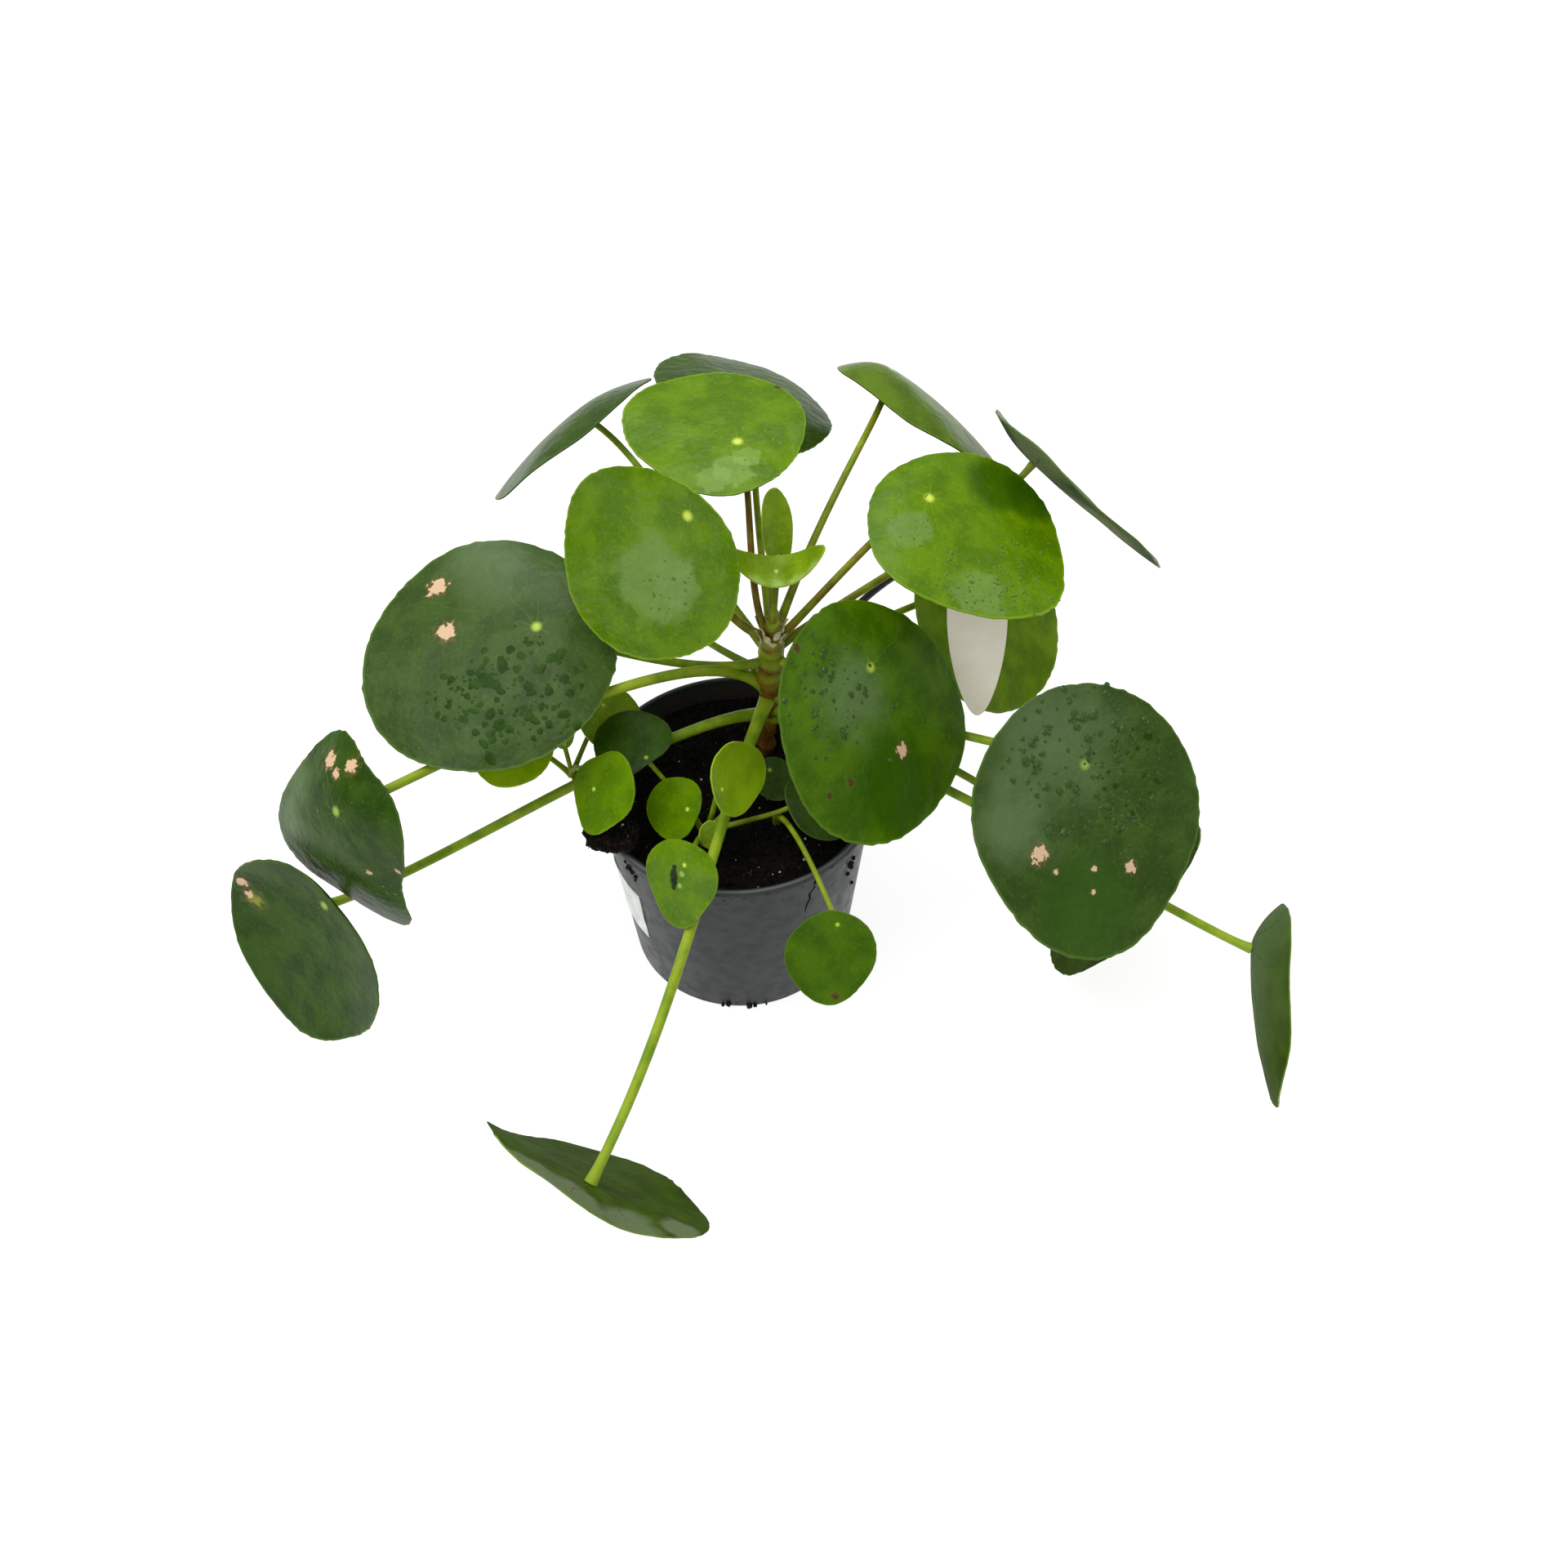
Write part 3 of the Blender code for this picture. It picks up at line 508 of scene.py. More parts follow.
soil_seat = POT_WALL + SOIL_GAP
soil_top = wall_radius(SOIL_LEVEL) - soil_seat
soil_foot = POT_FLOOR + SOIL_GAP
soil_profile = [(soil_top * ring / SOIL_RINGS, SOIL_LEVEL) for ring in range(SOIL_RINGS + 1)]
soil_profile += [(wall_radius(soil_foot) - soil_seat, soil_foot), (0.0, soil_foot)]
soil_mesh = turned("soil_fine", soil_profile, SOIL_STEPS)
for vert in soil_mesh.vertices:
    radius = math.hypot(vert.co.x, vert.co.y)
    if vert.co.z > SOIL_LEVEL - SOIL_GAP and radius < soil_top - 1 * MM:
        vert.co.z += SOIL_HEAVE * noise.fractal(vert.co / SOIL_HEAVE_SPACING, 1.0, 2.2, 4)
soil = add_object("soil_fine", soil_mesh, potting_soil)
use_tree(soil, peat_crust, Share=1.0)
smooth(finished(soil))
keep(soil, "potting_soil", "soil")

# A clump of peat and fine roots lies loose on the rim at the left. It fell there, and was left,
# when the plant was potted.
CLUMP_CENTRE = Vector((-50.5, -30.5, 100.2)) * MM
CLUMP_RADII = Vector((11, 8.5, 3.6)) * MM
CLUMP_LUMP_HEIGHT = 0.3

clod_peat, shader, spot = new_material("clod_peat", 0.9, 0.15)
tint(shader, (22, 14, 11), (patchy(spot, 2.5 * MM), (52, 34, 25)))
bump(shader, patchy(spot, 0.7 * MM, 0.2, 0.8, 6.0), 0.6 * MM)
clump_shape = bmesh.new()
bmesh.ops.create_icosphere(clump_shape, subdivisions=4, radius=1.0)
for vert in clump_shape.verts:
    lump_size = 1.0 + CLUMP_LUMP_HEIGHT * noise.fractal(vert.co * 1.7, 1.0, 2.1, 4)
    vert.co = CLUMP_CENTRE + Vector(a * b for a, b in zip(vert.co * lump_size, CLUMP_RADII))
    vert.co.z = max(vert.co.z, POT_HEIGHT + SOIL_GAP)
clump = add_object("soil_clump_fine", mesh_of("soil_clump_fine", clump_shape), clod_peat)
use_tree(clump, peat_crust, Share=2.0)
smooth(finished(clump))
keep(clump, "potting_soil", "soil_clump")

# Loose crumbs of the same peat stick to the lip and lie at the foot of the pot, where they fell
# when it was filled. Each has an azimuth in degrees, a height and a size in millimetres.
CRUMBS = ((217, 84, 1.6), (218.5, 82, 1.3), (220, 79.5, 0.9), (215, 85.5, 0.9), (219, 76, 0.6),
          (325, 77, 1.5), (326, 74, 1.2), (324, 71, 0.9), (327, 79, 1.0), (331, 57, 0.8),
          (261, 2.5, 1.2), (258, 1.0, 0.7), (272, 1.0, 1.3), (275, 0.9, 0.9), (281, 0.6, 0.5))
crumb_shape = bmesh.new()
for azimuth, height, size in CRUMBS:
    out = Vector((wall_radius(height * MM) + POT_BAND_STEP / 2, 0.0, height * MM))
    middle = Matrix.Rotation(math.radians(azimuth), 3, "Z") @ out
    crumb = bmesh.ops.create_icosphere(crumb_shape, subdivisions=2, radius=1.0)
    for vert in crumb["verts"]:
        lump_size = 1.0 + 0.5 * noise.noise(vert.co * 1.6 + middle * 1000)
        vert.co = middle + vert.co * lump_size * size * MM
        vert.co.z = max(vert.co.z, 0.0)
keep(add_object("peat_crumbs", mesh_of("peat_crumbs", crumb_shape), clod_peat), "potting_soil")

# Each leaf has a round blade on a long stalk that joins it near the middle. The leaves' places,
# facings and outlines are those of the solid model, written in millimetres and degrees.

# hub: where the stalk meets the blade. facing: azimuth and elevation of the upper face.
# root: where the stalk leaves its stem. length: of the blade, through its tip.
# width: a share of the length. hub_share: hub to nearer end, as a share of the length.
# turn: turn of the tip in the blade's plane, from straight downhill.
# cup and fold: how far the margin stands up, as a share of the length, all round and on both
# sides of the fold line, which fold_turn turns.
# three and four: how far the outline leans to three and to four corners, as a share of its
# radius and an angle.
# bend: the two points that the stalk leans towards. Without them it leaves at the rise and ends
# square to the blade, keeping each direction for its reach, a share of the run.
# radius: the stalk's, at its middle. look: the blade's finish. brown: how brown the stalk is.
Leaf = namedtuple(
    "Leaf",
    "hub facing root length width hub_share turn cup fold fold_turn three four bend rise reach "
    "radius look brown",
    defaults=(0.95, 0.28, 0, 0.0, 0.0, 0, (0.0, 0), (0.0, 0), None, 30, (0.4, 0.3), 1.7, "dark",
              0.1))

STEM_SOIL_TOP = Vector((13, 22, 90))
STEM_TOP = Vector((17, 19, 168))
FRONT_CROWN = (-14, -29, 97)
LEFT_CROWN = (-68, 3, 100)
SPROUT_FOOT = (16, -16, 76)
SPROUT_SOIL_TOP = (16, -16, 90)


def on_stem(height):
    """Return the point of the main stem's centre line at a height, all in millimetres."""
    share = (height - STEM_SOIL_TOP.z) / (STEM_TOP.z - STEM_SOIL_TOP.z)
    return tuple(STEM_SOIL_TOP.lerp(STEM_TOP, share))


MAIN_LEAVES = {
    "leaf_left_large": Leaf(
        (-77, 25, 165), (248, 69), on_stem(146), 104, width=0.98, turn=-52, cup=-0.08,
        three=(0.021, 43), bend=((-14, 15, 140), (-69, 37, 147)), radius=1.9, brown=0.15),
    "leaf_centre_left": Leaf(
        (-14, 17, 228), (239, 20), on_stem(158), 80, width=0.975, hub_share=0.13, turn=-29,
        fold=-0.03, three=(0.026, 55), four=(0.02, 346), bend=((-18, 24, 172), (-6, 35, 214)),
        look="bright", brown=0.6),
    "leaf_centre_top": Leaf(
        (6, 68, 220), (266, 89), on_stem(158), 75, width=0.93, hub_share=0.335, turn=-133,
        cup=-0.016, three=(0.052, 64), bend=((5, 17, 178), (13, 67, 202)), radius=1.5,
        look="bright", brown=0.8),
    "leaf_back_top": Leaf(
        (15, 114, 200), (33, 67), on_stem(156), 81, width=0.94, hub_share=0.33, turn=69,
        cup=-0.07, three=(0.026, 159), four=(0.019, 306), bend=((13, 45, 191), (11, 110, 181)),
        radius=1.5, brown=0.15),
    "leaf_back_left": Leaf(
        (-60, 115, 200), (141, 42), on_stem(149), 79, width=1.06, hub_share=0.32, turn=1,
        cup=-0.104, three=(0.02, 310), bend=((-17, 49, 181), (-32, 108, 186)), radius=1.6,
        brown=0.1),
    "leaf_back_right": Leaf(
        (72, 131, 203), (36, 47), on_stem(154), 77, hub_share=0.235, turn=-41, cup=-0.136,
        three=(0.032, 187), four=(0.021, 60), bend=((40, 58, 203), (71, 124, 188)), radius=1.6,
        look="olive", brown=0.35),
    "leaf_right_bright": Leaf(
        (81, 53, 200), (320, 70), on_stem(154), 84, width=1.0, hub_share=0.235, turn=-1,
        cup=-0.074, fold=0.08, fold_turn=33, three=(0.018, 5), four=(0.024, 6),
        bend=((41, 31, 176), (70, 62, 188)), look="bright", brown=0.55),
    "leaf_far_right": Leaf(
        (128, 89, 185), (29, 37), on_stem(151), 95, hub_share=0.27, turn=-37, cup=0.053,
        bend=((56, 41, 168), (105, 74, 163)), brown=0.4),
    "leaf_behind_label": Leaf(
        (98, 74, 130), (326, 39), on_stem(137), 90, width=0.985, turn=22,
        bend=((50, 38, 144), (87, 83, 115)), look="painted_light_mossy"),
    "leaf_front_right": Leaf(
        (54, -5, 165), (317, 40), on_stem(146), 96, turn=-28, cup=-0.035, three=(0.029, 260),
        rise=20, look="rich"),
    "leaf_right_large": Leaf(
        (136, -38, 140), (298, 44), on_stem(125), 107, width=0.92, hub_share=0.305, turn=-20,
        cup=0.012, three=(0.027, 3), four=(0.011, 11), bend=((63, 5, 126), (127, -5, 110)),
        radius=2.0, brown=0),
    "leaf_under_right": Leaf(
        (165, -43, 56), (332, -35), on_stem(110), 92, turn=41, rise=22, radius=1.8, look="olive"),
    "leaf_low_right": Leaf(
        (204, -81, 73), (351, 3), on_stem(118), 82, hub_share=0.24, turn=-66, cup=0.132,
        three=(0.035, 50), four=(0.028, 188), bend=((92, -20, 109), (190, -76, 74)), radius=2.1,
        look="olive", brown=0),
    "leaf_low_left": Leaf(
        (-156, -40, 133), (222, 22), on_stem(127), 85, width=0.83, hub_share=0.305, turn=-9,
        cup=-0.065, fold=-0.18, fold_turn=-50, three=(0.045, 100), four=(0.1, 156),
        bend=((-10, 16, 180), (-132, -8, 110)), radius=2.3, look="shaded", brown=0),
    "leaf_lowest_left": Leaf(
        (-171, -38, 72), (231, 11), on_stem(112), 94, width=0.9, hub_share=0.225, turn=-13,
        cup=0.09, three=(0.028, 0), four=(0.014, 14), bend=((-18, 1, 144), (-133, -8, 51)),
        radius=2.3, look="shaded", brown=0),
    "leaf_front_low": Leaf(
        (-61, -170, 64), (233, -35), on_stem(124), 95, width=0.94, hub_share=0.335, turn=-22,
        cup=0.04, fold=-0.087, fold_turn=-34, three=(0.041, 328), four=(0.051, 36),
        bend=((-12, -42, 112), (-22, -117, 107)), radius=2.4, look="olive", brown=0),
    "leaf_hidden_left": Leaf(
        (-32, 88, 132), (150, 50), on_stem(137), 44, bend=((-14, 37, 143), (-28, 78, 114)),
        radius=1.6),
    "young_leaf_cupped": Leaf(
        (19, 26, 189), (270, 78), on_stem(164), 15, width=2.5, hub_share=0.45, cup=0.08,
        fold=0.16, rise=80, radius=1.6, look="young", brown=0.5),
    "young_leaf_upright": Leaf(
        (20, 37, 187), (300, 22), on_stem(162), 33, width=0.42, hub_share=0.13, turn=172,
        cup=0.05, fold=0.1, rise=75, radius=1.3, look="young"),
}

FRONT_PUP_LEAVES = {
    "front_pup_leaf_front": Leaf(
        (-21, -71, 129), (229, 29), FRONT_CROWN, 35, width=0.92, hub_share=0.29, turn=2,
        cup=-0.025, three=(0.08, 42), four=(0.025, 72), bend=((-20, -38, 101), (-18, -60, 114)),
        radius=1.2, look="bright"),
    "front_pup_leaf_left": Leaf(
        (-20, -26, 109), (218, 49), FRONT_CROWN, 26, width=1.0, hub_share=0.245, turn=-61,
        three=(0.047, 320), four=(0.012, 128), rise=50, radius=1.1, look="bright"),
    "front_pup_leaf_top": Leaf(
        (-6, -36, 132), (324, 28), FRONT_CROWN, 31, width=0.925, hub_share=0.22, turn=84,
        cup=0.055, three=(0.053, 323), four=(0.011, 262), bend=((-9, -28, 108), (-9, -30, 122)),
        radius=1.2, look="painted_light_lime"),
    "front_pup_leaf_back": Leaf(
        (-36, -8, 121), (245, 77), FRONT_CROWN, 29, width=1.17, hub_share=0.148, turn=-115,
        cup=-0.01, three=(0.088, 342), four=(0.029, 123), bend=((-20, -12, 97), (-32, -6, 108)),
        radius=1.1, look="shaded"),
    "front_pup_leaf_right": Leaf(
        (26, -19, 104), (355, 56), FRONT_CROWN, 32, width=0.9, hub_share=0.26, turn=-16,
        cup=0.014, three=(0.047, 87), rise=12, radius=1.2),
    "front_pup_leaf_shaded": Leaf(
        (14, 2, 99), (300, 70), FRONT_CROWN, 20, rise=10, radius=1.0),
    "front_pup_bud": Leaf(
        (-11, -37, 99), (270, 20), FRONT_CROWN, 13, width=0.75, hub_share=0.12, turn=180,
        fold=0.2, rise=20, radius=0.9, look="young"),
}

LEFT_PUP_LEAVES = {
    "left_pup_leaf_front": Leaf(
        (-57, -21, 118), (209, 44), LEFT_CROWN, 33, width=1.0, hub_share=0.335, turn=119,
        three=(0.032, 94), four=(0.061, 325), bend=((-66, 4, 112), (-54, -9, 106)), radius=1.2,
        look="bright"),
    "left_pup_leaf_left": Leaf(
        (-88, 20, 108), (240, 75), LEFT_CROWN, 36, rise=20, radius=1.2, look="painted_light_young"),
    "left_pup_leaf_back": Leaf(
        (-54, 26, 117), (300, 60), LEFT_CROWN, 28, rise=40, radius=1.1, look="young"),
    "left_pup_bud": Leaf(
        (-70, 8, 114), (285, 15), LEFT_CROWN, 20, width=0.5, hub_share=0.12, turn=180, fold=0.2,
        rise=85, reach=(0.4, 0.35), radius=1.0, look="young"),
}

SPROUT_LEAVES = {"sprout_leaf": Leaf(
    (37, -82, 102), (275, 34), SPROUT_SOIL_TOP, 38, width=0.935, hub_share=0.147, turn=-16,
    cup=0.009, three=(0.03, 36), four=(0.018, 43), rise=52, reach=(0.45, 0.2), radius=1.2,
    look="rich")}

# Stalks are tubes of living tissue, swollen where they leave the stem and where they meet the
# blade. They are yellow-green, and the older ones turn brown. The whole stem is one piece.
STALK_POINTS = 36
STALK_SIDES = 14
PUP_STALK_SIDES = 12
FOOT_SWELL = 1.5
FOOT_SWELL_FADE = 14.0
TIP_TAPER = 0.82
HUB_FLARE = 0.35
HUB_FLARE_LENGTH = 3.5 * MM
BLADE_THICKNESS = 0.7 * MM


def attribute(tree, name):
    return place(tree, "ShaderNodeAttribute", {"attribute_name": name})


stem_skin, shader, spot = new_material("stem_skin", 0.42, 0.2)
brown = attribute(spot.tree, "brown").other("Fac")
along = attribute(spot.tree, "along").other("Fac")
green = layered((104, 136, 8), (patchy(spot, 9 * MM), (138, 160, 26)),
                (ramp(along, 0.75, 1.0, 0.0, 0.5), (150, 176, 50)))
browned = layered((96, 62, 16), (patchy(spot, 6 * MM), (126, 92, 22)))
tint(shader, green, (ramp(brown + (patchy(spot, 7 * MM) - 0.5) * 0.3, 0.0, 1.0), browned))
bump(shader, patchy(spot, 1.5 * MM, 0.3, 0.7), 0.05 * MM)

# Sweeping: a tree that sweeps a round section along the lines of a mesh, as thick as they say.
sweeping, given, result = new_group(
    "GeometryNodeTree", "swept_stalks",
    {"Geometry": "Geometry", "Sides": "Int", "Material": "Material"}, {"Geometry": "Geometry"})
thickness = place(sweeping, "GeometryNodeInputNamedAttribute", {"data_type": "FLOAT"},
                  Name="thickness")
lines = place(sweeping, "GeometryNodeMeshToCurve", Mesh=given["Geometry"])
section = place(sweeping, "GeometryNodeCurvePrimitiveCircle", {"mode": "RADIUS"}, Radius=1.0,
                Resolution=given["Sides"])
swept = place(sweeping, "GeometryNodeCurveToMesh", Curve=lines, Profile_Curve=section,
              Scale=thickness, Fill_Caps=True)
give(result["Geometry"], solid(swept, given["Material"]))


def bezier(points, share):
    """Return the point at a share of the way along a cubic Bezier curve."""
    rest = 1.0 - share
    weights = (rest ** 3, 3 * rest ** 2 * share, 3 * rest * share ** 2, share ** 3)
    return sum((point * weight for point, weight in zip(points, weights)), Vector())


def blade_axes(spec):
    """Return the unit vectors of a blade: out of its upper face, to its tip, and across."""
    azimuth, elevation = spec.facing
    level = around(azimuth)
    lift = math.radians(elevation)
    normal = level * math.cos(lift) + UPRIGHT * math.sin(lift)
    downhill = level * math.sin(lift) - UPRIGHT * math.cos(lift)
    tip = Matrix.Rotation(math.radians(spec.turn), 3, normal) @ downhill
    return normal, tip, normal.cross(tip)


def stalk_line(spec):
    """Return points along a stalk from its stem to the blade, with its radius at each."""
    normal = blade_axes(spec)[0]
    root = Vector(spec.root) * MM
    hub = Vector(spec.hub) * MM
    if spec.bend is not None:
        bend = [Vector(point) * MM for point in spec.bend]
    else:
        run = hub - root
        level = Vector((run.x, run.y, 0.0)).normalized()
        rise = math.radians(spec.rise)
        leaving = level * math.cos(rise) + UPRIGHT * math.sin(rise)
        first_reach, last_reach = spec.reach
        bend = [root + leaving * run.length * first_reach, hub - normal * run.length * last_reach]
    handles = (root, *bend, hub - normal * BLADE_THICKNESS / 2)
    shares = [i / (STALK_POINTS - 1) for i in range(STALK_POINTS)]
    points = [bezier(handles, share) for share in shares]
    radii = []
    for share, point in zip(shares, points):
        flare = HUB_FLARE * math.exp(-(point - hub).length / HUB_FLARE_LENGTH)
        foot = (FOOT_SWELL - 1.0) * math.exp(-FOOT_SWELL_FADE * share)
        body = 1.0 + (TIP_TAPER - 1.0) * share
        radii.append(spec.radius * MM * (body + foot + flare))
    return points, radii


def stalks(leaves):
    """Return the stalks of leaves as lines of points, radii and brownness."""
    lines = [stalk_line(spec) for spec in leaves.values()]
    return [(points, radii, [spec.brown] * STALK_POINTS)
            for (points, radii), spec in zip(lines, leaves.values())]


def swept_piece(name, lines, material, sides):
    """Sweep lines of points, radii and brownness into one smooth piece."""
    points, edges, thickness, along, brown = [], [], [], [], []
    for line_points, radii, browning in lines:
        start = len(points)
        count = len(line_points)
        points += line_points
        edges += [(start + i, start + i + 1) for i in range(count - 1)]
        thickness += radii
        along += [i / (count - 1) for i in range(count)]
        brown += browning
    mesh = bpy.data.meshes.new(name)
    mesh.from_pydata(points, edges, [])
    for word, values in (("thickness", thickness), ("along", along), ("brown", brown)):
        mesh.attributes.new(word, "FLOAT", "POINT").data.foreach_set("value", values)
    piece = add_object(name, mesh)
    use_tree(piece, sweeping, Sides=sides, Material=material)
    return smooth(finished(piece))


# The main stem is a short woody trunk, thin and reddish brown at the foot, thick and green above
# with the scars of fallen leaves, and crowned with dry papery scales.
TRUNK_POINTS = 60
TRUNK_FOOT_SHARE = -0.25
TRUNK_RADII = ((-0.25, 3.4), (0.0, 3.4), (0.44, 3.6), (0.5, 4.6), (0.56, 5.2), (0.7, 5.5),
               (0.82, 5.0), (0.92, 3.8), (1.0, 2.2))
TRUNK_BROWN = ((-0.25, 1.3), (0.5, 1.3), (0.58, 0.55), (0.8, 0.3), (1.0, 0.35))
TRUNK_WANDER = 0.8
TRUNK_LUMP = 0.9
SCAR_SPACING = 7.0
SCAR_HEIGHT = 0.45
SCAR_BROWN = 0.5


def between(table, share):
    """Read a value from a table of (share, value) pairs, in a straight line between them."""
    for (low, low_value), (high, high_value) in zip(table, table[1:]):
        if share <= high:
            part = max(0.0, (share - low) / (high - low))
            return low_value + (high_value - low_value) * part
    return table[-1][1]


def trunk_line():
    """Return the trunk's points, its ringed and lumpy radii, and how brown it is."""
    points, radii, brown = [], [], []
    for i in range(TRUNK_POINTS):
        share = TRUNK_FOOT_SHARE + (1.0 - TRUNK_FOOT_SHARE) * i / (TRUNK_POINTS - 1)
        point = STEM_SOIL_TOP.lerp(STEM_TOP, share)
        phase = point.z / SCAR_SPACING + 0.8 * noise.noise(Vector((share * 5.0, 1.9, 0.0)))
        ring = abs(math.sin(math.pi * phase)) ** 6
        lump = TRUNK_LUMP * noise.noise(Vector((share * 14.0, 3.7, 0.0)))
        aside = Vector((noise.noise(Vector((share * 9.0, 0.0, 5.0))),
                        noise.noise(Vector((share * 9.0, 8.0, 0.0))), 0.0)) * TRUNK_WANDER
        points.append((point + aside) * MM)
        radii.append((between(TRUNK_RADII, share) + SCAR_HEIGHT * ring + lump) * MM)
        brown.append(between(TRUNK_BROWN, share) + SCAR_BROWN * ring)
    return points, radii, brown


main_stem = swept_piece("main_stem_fine", [trunk_line()] + stalks(MAIN_LEAVES), stem_skin,
                        STALK_SIDES)
keep(main_stem, "stem_green", "main_stem")

# The crown of the stem bears dry papery scales, the husks of old buds. They grow from the stem
# one above the other, each turned on from the last, and lean out at their tips.
SCALE_COUNT = 14
SCALE_LENGTH = 9 * MM
SCALE_WIDTH = 6 * MM
SCALE_THICKNESS = 0.15 * MM
SCALE_FOOT_RADIUS = 4.2
SCALE_LOWEST = 155
SCALE_CLIMB = 10
SCALE_TURN = 137.5
SCALE_STEPS = 6

scale_points, scale_faces = [], []
for i in range(SCALE_COUNT):
    outward = around(SCALE_TURN * i)
    aside = UPRIGHT.cross(outward).normalized()
    height = SCALE_LOWEST + SCALE_CLIMB * i / SCALE_COUNT
    foot = (Vector(on_stem(height)) + outward * SCALE_FOOT_RADIUS) * MM
    size = 0.7 + 0.5 * noise.noise(Vector((i * 1.3, 0.0, 0.0)))
    for step in range(SCALE_STEPS + 1):
        share = step / SCALE_STEPS
        middle = foot + (UPRIGHT * share + outward * (0.1 + 0.3 * share ** 2)) * SCALE_LENGTH * size
        half = SCALE_WIDTH * size / 2 * (1 - share) ** 0.6 * (0.7 + share)
        back = outward * half * -0.4
        if step < SCALE_STEPS:
            start = len(scale_points)
            scale_faces += [(a, a + 1, a + 4, a + 3) for a in (start, start + 1)]
        scale_points += [middle - aside * half + back, middle, middle + aside * half + back]
scales_mesh = bpy.data.meshes.new("stem_scales")
scales_mesh.from_pydata(scale_points, [], scale_faces)
dry_scale = blotched("dry_scale", 0.6, 0.3, 2 * MM, (222, 220, 184), (176, 164, 104))
scales = add_object("stem_scales", scales_mesh, dry_scale)
scales.modifiers.new("Thickness", "SOLIDIFY").thickness = SCALE_THICKNESS
smooth(finished(scales))
keep(scales, "stem_green")

# Pups are small plants that rise from the same roots, each with a short brown stem of its own.
# Their stalks grow from it as one piece, as on the main stem.
PUP_STEM_RADIUS = 2.4 * MM
PUP_STEM_BROWN = 0.6
PUP_STEMS = {
    "front_pup_stem": (((-14, -26, 74), (-14, -26, 89), (-14, -29, 97)), FRONT_PUP_LEAVES),
    "left_pup_stem": (((-47, 3, 74), (-47, 3, 88), (-51, 3, 97), (-60, 3, 100), (-68, 3, 100)),
                      LEFT_PUP_LEAVES),
}
for name, (stem_points, leaves) in PUP_STEMS.items():
    stem = [Vector(point) * MM for point in stem_points]
    stem_line = (stem, [PUP_STEM_RADIUS] * len(stem), [PUP_STEM_BROWN] * len(stem))
    pup = swept_piece(name + "_fine", [stem_line] + stalks(leaves), stem_skin, PUP_STALK_SIDES)
    keep(pup, "stem_green", name)

# The sprout is a single young leaf that comes up from the roots at the right of the front. Its
# stalk goes straight down into the soil.
[(sprout_points, sprout_radii, sprout_brown)] = stalks(SPROUT_LEAVES)
sprout_line = ([Vector(SPROUT_FOOT) * MM] + sprout_points, [sprout_radii[0]] + sprout_radii,
               [sprout_brown[0]] + sprout_brown)
sprout_stalk = swept_piece("sprout_stalk", [sprout_line], stem_skin, PUP_STALK_SIDES)
keep(sprout_stalk, "stem_green", "sprout_petiole")

# The blades are thin, slightly fleshy discs with a waxy upper face, a pale spot over the stalk,
# faint veins that fan out from it, and a finely scalloped margin. They grow as one with the stalk.
LARGE_BLADE_LENGTH = 50
BladeSize = namedtuple("BladeSize", "rings spokes hub_spot")
BLADE_SIZES = {"large": BladeSize(22, 120, 3.0 * MM), "small": BladeSize(12, 72, 1.3 * MM)}
MARGIN_WAVE = 0.008
MARGIN_WAVES = 5.0
SCALLOP_DEPTH = 0.045
UNEVENNESS = 0.012

# The blade tree bends a round grid to one leaf's outline and form.
blade_sockets = {"Geometry": "Geometry", "Rings": "Int", "Spokes": "Int"}
blade_sockets.update({socket: "Float" for socket in (
    "Length", "Width", "Hub Share", "Cup", "Fold", "Fold Turn", "Three Lean", "Three Turn",
    "Four Lean", "Four Turn", "Wave Turn", "Scallop", "Uneven")})
blade_sockets.update({socket: "Vector" for socket in ("Hub", "Facing", "Tip", "Across")})
blade_sockets["Material"] = "Material"
blade_tree, given, result = new_group("GeometryNodeTree", "round_blade", blade_sockets,
                                      {"Geometry": "Geometry"})
geometry = place(blade_tree, "GeometryNodeMeshGrid", Size_X=1.0, Size_Y=1.0,
                 Vertices_X=given["Spokes"], Vertices_Y=given["Rings"])
grid_x, grid_y, grid_z = parts(place(blade_tree, "GeometryNodeInputPosition"))
angle = grid_x * (2 * math.pi)
even_share = grid_y + 0.5
share = even_share ** 0.8
cosine = calc("COSINE", angle)
sine = calc("SINE", angle)
corners = 1.0
for count, word in ((3.0, "Three"), (4.0, "Four")):
    corners += calc("COSINE", angle * count - given[word + " Turn"]) * given[word + " Lean"]
scallops = noise_at(combined(cosine, sine, given["Wave Turn"]), 13.0, 1.0) - 0.5
corners += scallops * (given["Scallop"] * even_share ** 12.0)
half_length = given["Length"] * 0.5
centre = half_length * (given["Hub Share"] * -2.0 + 1.0)
blade_along = (centre + half_length * (corners * cosine)) * share
blade_aside = half_length * given["Width"] * (corners * sine) * share
off_fold = (blade_aside * calc("COSINE", given["Fold Turn"])
            - blade_along * calc("SINE", given["Fold Turn"])) / half_length
cup_rise = given["Cup"] * share ** 2.0
fold_rise = given["Fold"] * (off_fold * off_fold)
wave_rise = calc("SINE", angle * MARGIN_WAVES + given["Wave Turn"]) * (share ** 3.0 * MARGIN_WAVE)
flat_place = combined(blade_along, blade_aside)
disc_place = combined(share * cosine, share * sine)
swells = noise_at(flat_place + given["Hub"], 55.0, 1.0) - 0.5
swell_rise = swells * (given["Uneven"] * ramp(share, 0.0, 0.4))
blade_rise = given["Length"] * ((cup_rise + fold_rise) + (wave_rise + swell_rise))
bent_place = given["Hub"]
for axis, distance in (("Tip", blade_along), ("Across", blade_aside), ("Facing", blade_rise)):
    bent_place += given[axis] * distance
